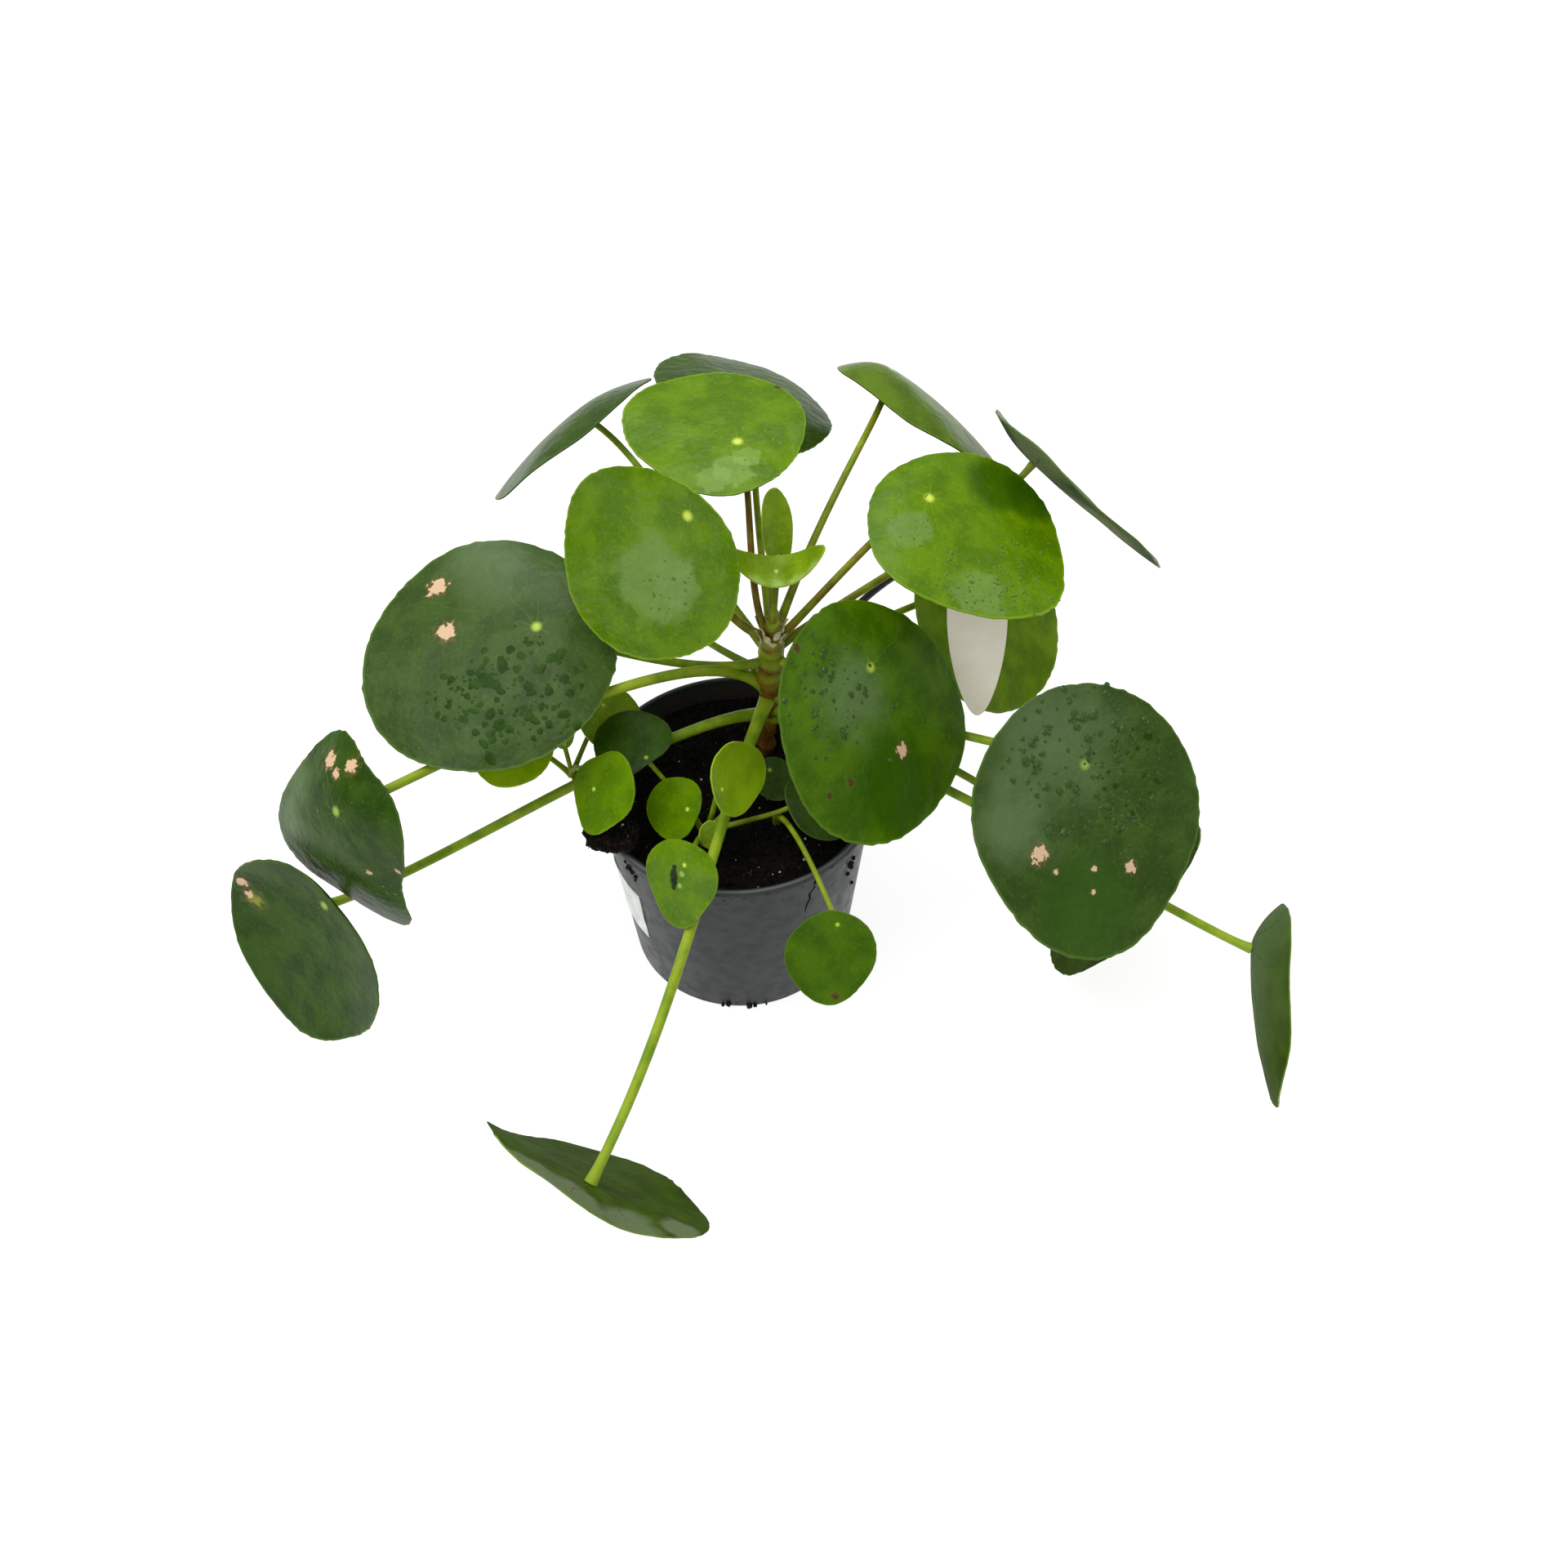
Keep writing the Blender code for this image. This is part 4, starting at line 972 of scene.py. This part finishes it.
for word, value in (("flat", flat_place), ("disc", disc_place)):
    geometry = place(blade_tree, "GeometryNodeStoreNamedAttribute",
                     {"data_type": "FLOAT_VECTOR", "domain": "POINT"}, Geometry=geometry,
                     Name=word, Value=value)
bent = place(blade_tree, "GeometryNodeSetPosition", Geometry=geometry, Position=bent_place)
closed = place(blade_tree, "GeometryNodeMergeByDistance", Geometry=bent, Distance=0.02 * MM)
give(result["Geometry"], solid(closed, given["Material"]))

# Leaf veins: a group that gives the fan of veins, the spot over the stalk and the margin.
VEIN_COUNT = 9.0
leaf_web, given, result = new_group(
    "ShaderNodeTree", "leaf_web",
    {"Disc": "Vector", "Flat": "Vector", "Veins": "Float", "Spot": "Float"},
    {"Fan": "Float", "Hub": "Float", "Margin": "Float", "Net": "Float"})
share = calc("LENGTH", given["Disc"])
from_hub = calc("LENGTH", given["Flat"])
wander = noise_at(given["Flat"], 70.0)
disc_x, disc_y, disc_z = parts(given["Disc"])
fan_angle = calc("ARCTAN2", disc_y, disc_x) + wander * 0.5
fan = 0.0
for multiple, start in ((1.0, 0.0), (3.0, 0.45)):
    spokes = calc("ABSOLUTE", calc("SINE", given["Veins"] * (0.5 * multiple) * fan_angle))
    line = ramp(spokes / multiple * share, 0.035, 0.0) * ramp(share, start, start + 0.12)
    fan = calc("MAXIMUM", fan, line * (1.0 / multiple))
star = fan * ramp(from_hub, given["Spot"] * 2.5, 0.0)
core = ramp(from_hub, given["Spot"], given["Spot"] * 0.2)
net = place(leaf_web, "ShaderNodeTexVoronoi", {"feature": "DISTANCE_TO_EDGE"}, Scale=160.0,
            Vector=given["Flat"] + wander.other("Color") * 0.004)
give(result["Fan"], fan * ramp(share, 1.0, 0.6))
give(result["Hub"], calc("MAXIMUM", core, star * 0.3))
give(result["Margin"], ramp(share, 0.978, 0.995))
give(result["Net"], ramp(net, 0.08, 0.0))

# Blemish: one ragged spot at a place on the blade, hard or soft at its edge, with a ring round it.
blemish, given, result = new_group(
    "ShaderNodeTree", "blemish",
    {"Flat": "Vector", "Centre": "Vector", "Size": "Float", "Ragged": "Float", "Edge": "Float"},
    {"Spot": "Float", "Ring": "Float"})
ragged = noise_at(given["Flat"], 1.5 / given["Size"], 4.0).other("Color") - (0.5, 0.5, 0.5)
strayed = given["Flat"] + ragged * (given["Size"] * given["Ragged"])
reach = calc("DISTANCE", strayed, given["Centre"]) / given["Size"]
core = ramp(reach, 1.0, given["Edge"])
give(result["Spot"], core)
give(result["Ring"], ramp(reach, 1.5, 1.1) - core)

# Kinds of mark: a scar that healed pale, a dead brown spot, a yellowed patch, a painted reflection
# of the room's light, painted sheen where a face turns towards the bright room or is seen at a
# grazing angle, painted sheen on an underside seen edge-on, a painted glossy highlight, painted
# shading where a blade lies in shadow or turns from the light, the pale margin of a young leaf and a
# dark slit.
Mark = namedtuple("Mark", "colour strength edge ragged ring")
MARK_KINDS = {
    "scar": Mark((204, 172, 138), 1.0, 0.85, 2.6, 0.6),
    "brown": Mark((70, 52, 24), 0.9, 0.7, 2.0, 0.4),
    "yellow": Mark((136, 142, 50), 0.8, 0.5, 2.0, 0.3),
    # Painted reflection of the room's light on the upper face.
    "painted_reflection": Mark((110, 140, 72), 0.55, 0.65, 1.2, 0.0),
    # Painted sheen where a blade is seen edge-on.
    "painted_grazing_sheen": Mark((122, 134, 90), 0.9, 0.5, 0.8, 0.0),
    # Painted sheen where a face turns towards the bright room or is seen at a grazing angle.
    "painted_grey_sheen": Mark((92, 114, 74), 0.6, 0.2, 1.0, 0.0),
    # Painted sheen on an underside seen at a grazing angle.
    "painted_underside_sheen": Mark((100, 114, 80), 0.9, 0.6, 0.8, 0.0),
    # Painted highlight: a glossy reflection of the overhead light.
    "painted_highlight": Mark((128, 158, 76), 0.4, 0.85, 1.3, 0.0),
    # Painted shading where a blade lies in shadow or turns from the light.
    "painted_shade": Mark((40, 76, 0), 0.75, 0.5, 0.4, 0.0),
    "pale": Mark((160, 190, 96), 0.7, 0.3, 0.8, 0.0),
    "slit": Mark((18, 34, 8), 0.95, 0.7, 0.8, 0.0),
}
MARK_RING = (96, 84, 44)

# Marks on the blades: kind, place along and aside of the hub, and radius, in millimetres. The
# reflection, sheen, highlight and shading kinds are painted light and shade.
MARKS = {
    "leaf_left_large": (("painted_grey_sheen", 2, -42, 38), ("scar", 33, -36, 4.2), ("scar", 35, -14, 4.4)),
    "leaf_front_right": (("painted_shade", 46, 4, 26), ("painted_grey_sheen", 11, -10, 24), ("scar", 34, 11, 2.8),
                         ("brown", 43, -16, 1.6), ("brown", 47, -26, 1.4), ("brown", -11, -32, 1.8)),
    "leaf_right_large": (("painted_shade", 54, -2, 26), ("painted_grey_sheen", -10, -12, 38), ("painted_grey_sheen", 20, -32, 26),
                         ("scar", 34, -22, 3.6), ("scar", 41, 18, 2.6),
                         ("scar", 41, 2, 1.2), ("scar", 41, -15, 1.2), ("scar", 50, 1, 1.0)),
    "leaf_centre_left": (("painted_reflection", 32, 5, 21), ("painted_reflection", 26, 14, 12)),
    "leaf_right_bright": (("painted_shade", 14, 30, 17), ("painted_shade", 27, 36, 14), ("painted_reflection", 4, -17, 11),
                          ("painted_reflection", 42, -22, 13)),
    "leaf_low_left": (("painted_grey_sheen", 12, -30, 18), ("painted_grey_sheen", 28, -24, 16), ("scar", -11, -17, 3.4),
                      ("scar", -18, -5, 3.0), ("scar", -11, -9, 2.0), ("scar", 19, 19, 1.2),
                      ("scar", 9, 30, 1.2)),
    "leaf_lowest_left": (("yellow", 24, -32, 5.0), ("scar", 17, -39, 2.8), ("scar", 23, -35, 2.2)),
    "leaf_centre_top": (("painted_highlight", -8, 21, 7), ("painted_highlight", -10, 13, 9), ("painted_highlight", -9, 4, 6),
                        ("brown", 13, -36, 1.3)),
    "sprout_leaf": (("brown", 29, 5, 1.6),),
    "young_leaf_cupped": (("pale", 8, 0, 5), ("pale", 8, -8, 5), ("pale", 8, 8, 5),
                          ("pale", 6, 15, 4)),
    "front_pup_leaf_front": (("slit", 3, -4, 1.3), ("slit", 5, -3.7, 1.8),
                             ("slit", 7, -3.2, 2.1), ("slit", 9, -2.6, 1.9),
                             ("slit", 11, -2, 1.2), ("pale", 4, 0, 1.6),
                             ("pale", 9, 0.4, 1.4)),
}
# Marks on the undersides, listed the same way: painted sheen where an underside is seen at a grazing
# angle.
UNDER_MARKS = {
    "leaf_front_low": (("painted_underside_sheen", -30, -4, 19), ("painted_underside_sheen", -22, 22, 17), ("painted_underside_sheen", -24, -24, 13),
                       ("painted_underside_sheen", -4, 38, 10)),
    "leaf_far_right": (("painted_grazing_sheen", -12, -26, 24), ("painted_grazing_sheen", 30, -20, 24)),
    "leaf_low_right": (("painted_grey_sheen", 0, 0, 60),),
}

# Looks of the blades and of their undersides, as a screen shows them before the sheen is added.
Look = namedtuple("Look", "slot deep light vein under hub net roughness specular")
LOOKS = {
    "dark": Look("dark_leaf", (42, 66, 8), (54, 79, 18), (84, 114, 36), (84, 100, 66),
                 (170, 200, 70), 0.04, 0.36, 0.18),
    "rich": Look("dark_leaf", (52, 84, 0), (68, 102, 2), (88, 122, 24), (84, 108, 40),
                 (180, 205, 60), 0.04, 0.3, 0.12),
    "shaded": Look("dark_leaf", (32, 58, 0), (46, 74, 4), (72, 100, 26), (78, 96, 56),
                   (150, 180, 70), 0.05, 0.36, 0.1),
    "olive": Look("dark_leaf", (66, 92, 0), (84, 112, 12), (106, 134, 36), (56, 80, 2),
                  (180, 205, 70), 0.05, 0.34, 0.14),
    # A lighter copy of the olive look: painted light for the leaf that the label and the leaves
    # above it shade.
    "painted_light_mossy": Look("dark_leaf", (84, 117, 0), (104, 137, 0), (118, 144, 30), (96, 122, 40),
                  (190, 210, 80), 0.06, 0.34, 0.08),
    "bright": Look("bright_leaf", (72, 107, 0), (90, 124, 0), (122, 156, 24), (96, 128, 24),
                   (200, 220, 84), 0.06, 0.26, 0.1),
    # A lighter copy of the bright look: painted light for a pup leaf, to make up for the shading it
    # gets.
    "painted_light_lime": Look("bright_leaf", (108, 140, 6), (126, 158, 14), (140, 170, 40), (110, 140, 40),
                 (205, 222, 96), 0.08, 0.28, 0.1),
    # A lighter copy of the young look: painted light for the pup leaf in the shade of the large leaf
    # above it.
    "painted_light_young": Look("young_leaf", (140, 178, 0), (160, 198, 12), (176, 206, 60), (150, 176, 70),
                  (200, 218, 96), 0.1, 0.33, 0.1),
    "young": Look("young_leaf", (100, 132, 0), (122, 152, 12), (156, 180, 56), (140, 166, 70),
                  (190, 208, 96), 0.1, 0.33, 0.16),
}


def blade_web(tree, hub_spot=0.0):
    """Return the blade's own flat place and its web of veins, in a material."""
    flat, disc = (attribute(tree, name).other("Vector") for name in ("flat", "disc"))
    return flat, place(tree, "ShaderNodeGroup", {"node_tree": leaf_web}, Disc=disc, Flat=flat,
                       Veins=VEIN_COUNT, Spot=hub_spot)


def marked(flat, colour, marks):
    """Lay marks over a blade's colour, and return the colour."""
    for kind, along, aside, size in marks:
        mark = MARK_KINDS[kind]
        spots = place(flat.tree, "ShaderNodeGroup", {"node_tree": blemish}, Flat=flat,
                      Centre=(along * MM, aside * MM, 0.0), Size=size * MM, Ragged=mark.ragged,
                      Edge=mark.edge)
        if mark.ring > 0:
            colour = layered(colour, (spots.other("Ring") * mark.ring, MARK_RING))
        colour = layered(colour, (spots * mark.strength, mark.colour))
    return colour


def blade_skin(name, look, hub_spot, marks=()):
    """Make the upper face of a blade."""
    material, shader, spot = new_material(name, look.roughness, look.specular)
    flat, web = blade_web(spot.tree, hub_spot)
    veins = calc("MAXIMUM", web * 0.28, web.other("Net") * look.net)
    colour = layered(look.deep, (patchy(spot, 12 * MM, 0.35, 0.65, 3.0), look.light),
                     (patchy(spot, 1.5 * MM, 0.55, 0.72, 2.0) * 0.22, look.vein),
                     (veins, look.vein), (web.other("Margin") * 0.6, look.vein),
                     (web.other("Hub") * 0.9, look.hub))
    tint(shader, marked(flat, colour, marks))
    bump(shader, patchy(spot, 5 * MM, 0.2, 0.8, 2.0) + veins * 1.2, 0.25 * MM)
    return material


def underside_skin(name, look, marks=()):
    """Make the paler, duller under face of a blade, with its veins standing out."""
    material, shader, spot = new_material(name, 0.7, 0.04)
    flat, web = blade_web(spot.tree)
    deep = tuple(channel * 0.8 for channel in look.under)
    colour = layered(deep, (patchy(spot, 12 * MM, 0.3, 0.7, 2.0), look.under),
                     (web * 0.5, look.vein))
    tint(shader, marked(flat, colour, marks))
    bump(shader, web * 2.0 + patchy(spot, 3 * MM, 0.3, 0.7), 0.25 * MM)
    return material


undersides = {name: underside_skin(name + "_underside", look) for name, look in LOOKS.items()}
plain_skins = {(name, size): blade_skin(size + "_" + name + "_blade", look, measures.hub_spot)
               for name, look in LOOKS.items() for size, measures in BLADE_SIZES.items()}

# The facing tree gives the faces of a blade that look away from a given way the second material.
undersiding, given, result = new_group(
    "GeometryNodeTree", "underside",
    {"Geometry": "Geometry", "Facing": "Vector", "Upper": "Material", "Lower": "Material"},
    {"Geometry": "Geometry"})
outward = place(undersiding, "GeometryNodeInputNormal")
is_lower = calc("DOT_PRODUCT", outward, given["Facing"]) < 0.0
give(result["Geometry"], place(undersiding, "GeometryNodeSetMaterial", Selection=is_lower,
                               Geometry=solid(given["Geometry"], given["Upper"]),
                               Material=given["Lower"]))

# Watering left drops on the upper faces. Beads that stand up are clear, with a painted reflection of
# the room that makes their rim paler. Water that has spread lies as flat dark patches on the waxy
# face.
wet_patch = blotched("wet_patch", 0.3, 0.08, 6 * MM, (30, 56, 4), (42, 72, 10))


def water_bead(name, through, painted_rim_reflection):
    """Make a clear drop through which the blade shows, with a painted reflection that makes it paler
    at its rim.
    """
    material, shader, spot = new_material(name, 0.05, 0.35)
    edge = place(spot.tree, "ShaderNodeLayerWeight", Blend=0.35).other("Facing")
    # Painted reflection: the drop is painted paler where its surface turns from the camera.
    tint(shader, through, (ramp(edge, 0.3, 0.9), painted_rim_reflection))
    return material


dark_bead = water_bead("dark_bead", (42, 72, 0), (124, 158, 84))
bright_bead = water_bead("bright_bead", (72, 106, 0), (170, 196, 116))

# The beading tree lays flat beads on the side of a blade that faces a given way, round a place.
beading, given, result = new_group(
    "GeometryNodeTree", "water_beads",
    {"Geometry": "Geometry", "Facing": "Vector", "Place": "Vector", "Reach": "Float",
     "Density": "Float", "Smallest": "Float", "Largest": "Float", "Height": "Float",
     "Seed": "Int", "Material": "Material"},
    {"Geometry": "Geometry"})
outward = place(beading, "GeometryNodeInputNormal")
on_blade = place(beading, "GeometryNodeInputNamedAttribute", {"data_type": "FLOAT_VECTOR"},
                 Name="flat")
nearness = ramp(calc("DISTANCE", on_blade, given["Place"]) / given["Reach"], 1.0, 0.5)
spread = place(beading, "GeometryNodeDistributePointsOnFaces", Mesh=given["Geometry"],
               Selection=calc("DOT_PRODUCT", outward, given["Facing"]) > 0.6,
               Seed=given["Seed"], Density=given["Density"] * nearness)
drop = place(beading, "GeometryNodeMeshUVSphere", Radius=1.0, Segments=12, Rings=4)
bead_size = chance_size(given, 2.0)
stretched = bead_size * chance(beading, 0.6, 1.5, given["Seed"] + 7)
spin = place(beading, "FunctionNodeAxisAngleToRotation", Axis=(0.0, 0.0, 1.0),
             Angle=chance(beading, 0.0, 2 * math.pi, given["Seed"] + 3))
bead_turn = place(beading, "FunctionNodeRotateRotation", {"rotation_space": "LOCAL"},
                  Rotation=spread.other("Rotation"), Rotate_By=spin)
beads = place(beading, "GeometryNodeInstanceOnPoints", Points=spread, Rotation=bead_turn,
              Instance=dented(drop, 0.9, 1.4),
              Scale=combined(stretched, bead_size, bead_size * given["Height"]))
give(result["Geometry"], joined(solid(beads, given["Material"]), given["Geometry"]))

# Water on the blades: kind, place along and aside of the hub, reach, how many in a square
# centimetre, and the smallest and largest radius, in millimetres.
BEADS = {
    "leaf_left_large": (("spread", 14, 24, 30, 7.0, 0.5, 2.4),
                        ("spread", 36, 16, 22, 7.0, 0.4, 1.8)),
    "leaf_front_right": (("bead", 6, -22, 26, 4.0, 0.5, 1.7), ("bead", 20, -8, 30, 1.5, 0.4, 1.3)),
    "leaf_right_large": (("bead", 0, 0, 44, 3.6, 0.6, 2.2), ("spread", 6, 20, 24, 3.0, 0.5, 1.6)),
    "leaf_right_bright": (("bead", 42, -20, 26, 12.0, 0.35, 0.9),
                          ("bead", 50, 6, 26, 7.0, 0.35, 0.9), ("bead", 4, -18, 15, 5.0, 0.3, 0.7)),
    "leaf_centre_left": (("bead", 34, 22, 30, 3.0, 0.4, 0.8),),
    "leaf_centre_top": (("bead", 2, -8, 30, 0.8, 0.3, 0.6),),
    "leaf_low_left": (("bead", 10, 10, 30, 1.0, 0.3, 0.7),),
}
WATER_HEIGHTS = {"spread": 0.06, "bead": 0.35}

leaf_groups = (MAIN_LEAVES, FRONT_PUP_LEAVES, LEFT_PUP_LEAVES, SPROUT_LEAVES)
all_leaves = {name: spec for leaves in leaf_groups for name, spec in leaves.items()}
for name, spec in all_leaves.items():
    size = "large" if spec.length > LARGE_BLADE_LENGTH else "small"
    measures = BLADE_SIZES[size]
    look = LOOKS[spec.look]
    skin, underside = plain_skins[spec.look, size], undersides[spec.look]
    if name in MARKS:
        skin = blade_skin(name + "_skin", look, measures.hub_spot, MARKS[name])
    if name in UNDER_MARKS:
        underside = underside_skin(name + "_underside", look, UNDER_MARKS[name])
    facing, tip, across = blade_axes(spec)
    blade = add_object(name + "_fine", bpy.data.meshes.new(name))
    use_tree(blade, blade_tree, Rings=measures.rings, Spokes=measures.spokes,
             Length=spec.length * MM, Width=spec.width, Hub_Share=spec.hub_share, Cup=spec.cup,
             Fold=spec.fold, Fold_Turn=math.radians(spec.fold_turn), Three_Lean=spec.three[0],
             Three_Turn=math.radians(spec.three[1]), Four_Lean=spec.four[0],
             Four_Turn=math.radians(spec.four[1]), Wave_Turn=float(spec.length),
             Scallop=SCALLOP_DEPTH, Uneven=UNEVENNESS, Hub=Vector(spec.hub) * MM, Facing=facing,
             Tip=tip, Across=across, Material=plain_skins[spec.look, size])
    wall = blade.modifiers.new("Thickness", "SOLIDIFY")
    wall.thickness = BLADE_THICKNESS
    wall.offset = 0.0
    use_tree(blade, undersiding, Facing=facing, Upper=skin, Lower=underside)
    finished(blade)
    bead_skins = {"spread": wet_patch, "bead": bright_bead if spec.look == "bright" else dark_bead}
    for seed, (kind, along, aside, reach, density, smallest, largest) in enumerate(
            BEADS.get(name, ())):
        use_tree(blade, beading, Facing=facing, Place=Vector((along, aside, 0.0)) * MM,
                 Reach=reach * MM, Density=density / (10 * MM) ** 2, Smallest=smallest * MM,
                 Largest=largest * MM, Height=WATER_HEIGHTS[kind], Seed=seed,
                 Material=bead_skins[kind])
        finished(blade)
    keep(smooth(blade), look.slot, name)

# The plant label is a blank oval of beige card on a slim black stake pushed into the soil. The
# card is held point down on the front of the stake, which was pushed in at a slant.
CARD_TOP = Vector((101, 56, 190)) * MM
CARD_TIP = Vector((102, 20, 108)) * MM
CARD_WIDTH = 25 * MM
CARD_THICKNESS = 0.6 * MM
CARD_EDGE = 0.96
CARD_TAPER = 0.22
CARD_SIDES = 96
STAKE_RADIUS = 1.6 * MM
STAKE_FOOT = Vector((-4, 46, 64)) * MM
STAKE_SOIL_TOP = Vector((12, 46, 88)) * MM
STAKE_BEND = [Vector(point) * MM for point in ((30, 46, 112), (68, 72, 162))]
STAKE_REACH_DOWN = 0.25
STAKE_REACH_ASIDE = 0.28
STAKE_STEPS = 30
STAKE_SIDES = 16

down = (CARD_TIP - CARD_TOP).normalized()
card_across = UPRIGHT.cross(down).normalized()
front = down.cross(card_across)
half_card = (CARD_TIP - CARD_TOP).length / 2
card_shape = bmesh.new()
bmesh.ops.create_cone(card_shape, cap_ends=True, segments=CARD_SIDES, radius1=1.0, radius2=1.0,
                      depth=CARD_THICKNESS)
flat_faces = [face for face in card_shape.faces if abs(face.normal.z) > 0.9]
bmesh.ops.inset_region(card_shape, faces=flat_faces, thickness=1.0 - CARD_EDGE)
for vert in card_shape.verts:
    x, y, z = vert.co
    half_width = CARD_WIDTH / 2 * (1.0 - CARD_TAPER * max(0.0, x) ** 2)
    vert.co = ((CARD_TOP + CARD_TIP) / 2 + down * x * half_card + card_across * y * half_width
               + front * z)
card_shape.normal_update()
bmesh.ops.recalc_face_normals(card_shape, faces=card_shape.faces)
card_paper, shader, spot = new_material("card_paper", 0.55, 0.35)
tint(shader, (255, 244, 226), (patchy(spot, 8 * MM), (255, 250, 236)),
     (patchy(spot, 0.7 * MM, 0.5, 0.7) * 0.25, (244, 226, 206)))
bump(shader, patchy(spot, 0.5 * MM, 0.2, 0.8), 0.02 * MM)
card = add_object("label_card_fine", mesh_of("label_card_fine", card_shape), card_paper)
keep(smooth(card, 30), "card", "label_card")

stake_black = blotched("stake_black", 0.35, 0.5, 3 * MM, (16, 16, 18), (34, 34, 36))
leftward = card_across if card_across.x < 0 else -card_across
stake_end = (CARD_TOP + down * 2 * half_card * STAKE_REACH_DOWN
             + leftward * CARD_WIDTH * STAKE_REACH_ASIDE
             - front * (CARD_THICKNESS / 2 + STAKE_RADIUS))
handles = (STAKE_SOIL_TOP, *STAKE_BEND, stake_end)
stake_points = [STAKE_FOOT]
stake_points += [bezier(handles, i / STAKE_STEPS) for i in range(STAKE_STEPS + 1)]
stake_line = (stake_points, [STAKE_RADIUS] * len(stake_points), [0.0] * len(stake_points))
stake = swept_piece("label_stake_fine", [stake_line], stake_black, STAKE_SIDES)
keep(stake, "stake_plastic", "label_stake")

# A blank white paper sticker is stuck to the pot's wall at the left. It didn't quite take to the
# curve of the wall, and stands off it in a few small wrinkles.
STICKER_FROM, STICKER_TO = 190, 218
STICKER_FOOT = 32 * MM
STICKER_TOP = 63 * MM
STICKER_THICKNESS = 0.3 * MM
STICKER_WRINKLE = 0.35 * MM

sticker_shape = bmesh.new()
bmesh.ops.create_grid(sticker_shape, x_segments=24, y_segments=20, size=0.5)
for vert in sticker_shape.verts:
    azimuth = STICKER_FROM + (vert.co.x + 0.5) * (STICKER_TO - STICKER_FROM)
    height = STICKER_FOOT + (vert.co.y + 0.5) * (STICKER_TOP - STICKER_FOOT)
    rough = noise.noise(Vector((math.radians(azimuth) * 9, height * 120, 0.0)))
    radius = wall_radius(height) + STICKER_THICKNESS + STICKER_WRINKLE * max(0.0, rough)
    vert.co = around(azimuth) * radius + UPRIGHT * height
sticker_shape.normal_update()
sticker_paper = blotched("sticker_paper", 0.45, 0.45, 6 * MM, (232, 235, 230), (208, 212, 208))
sticker = add_object("sticker_fine", mesh_of("sticker_fine", sticker_shape), sticker_paper)
sticker.modifiers.new("Thickness", "SOLIDIFY").thickness = STICKER_THICKNESS
keep(smooth(finished(sticker), 40), "sticker_paper", "pot_sticker")

# The floor is a plain sweep that glows a little, so that it shows white. Soft light comes from
# two panels overhead, from a low window at the left, and from the bright room all round.
FLOOR_SIZE = 6.0
FLOOR_DROP = 0.1 * MM
FLOOR_GREY = (0.3, 0.3, 0.3, 1.0)
FLOOR_GLOW = 2.8

floor_shape = bmesh.new()
bmesh.ops.create_grid(floor_shape, x_segments=1, y_segments=1, size=FLOOR_SIZE / 2,
                      matrix=Matrix.Translation(-UPRIGHT * FLOOR_DROP))
floor_white, shader, spot = new_material("floor_white", 0.9, 0.2)
shader.inputs["Base Color"].default_value = FLOOR_GREY
shader.inputs["Emission Color"].default_value = FLOOR_GREY
shader.inputs["Emission Strength"].default_value = FLOOR_GLOW
add_object("floor", mesh_of("floor", floor_shape), floor_white)

# Each light: where it hangs, where it aims, its width in metres and its power in watts.
LIGHTS = {
    "ceiling_panel": ((-0.1, 0.85, 1.5), (0.0, 0.1, 0.2), 0.7, 6.0),
    "overhead_panel": ((-0.6, -0.2, 1.6), (0.0, 0.0, 0.1), 1.2, 12.0),
    "low_window": ((-0.95, -0.64, 0.1), (0.0, 0.0, 0.2), 0.3, 1.0),
}
for name, (where, aim, width, power) in LIGHTS.items():
    lamp = bpy.data.lights.new(name, "AREA")
    lamp.shape = "SQUARE"
    lamp.size = width
    lamp.energy = power
    light = add_object(name, lamp)
    light.location = where
    light.rotation_euler = (Vector(where) - Vector(aim)).to_track_quat("Z", "Y").to_euler()

# The walls of the room are shaded, so that they don't whiten the leaves' sheen. The camera sees
# them white.
HORIZON_LIGHT = 0.3
room = bpy.data.worlds.new("room")
room.use_nodes = True
height = parts(place(room.node_tree, "ShaderNodeTexCoord").other("Generated"))[2]
seen = place(room.node_tree, "ShaderNodeLightPath").other("Is Camera Ray")
background = room.node_tree.nodes["Background"]
background.inputs["Color"].default_value = (1.0, 1.0, 1.0, 1.0)
give(background.inputs["Strength"],
     calc("MAXIMUM", seen, ramp(height, 0.0, 0.8, HORIZON_LIGHT, 1.0)))
bpy.context.scene.world = room
bpy.context.scene.view_settings.view_transform = "Standard"
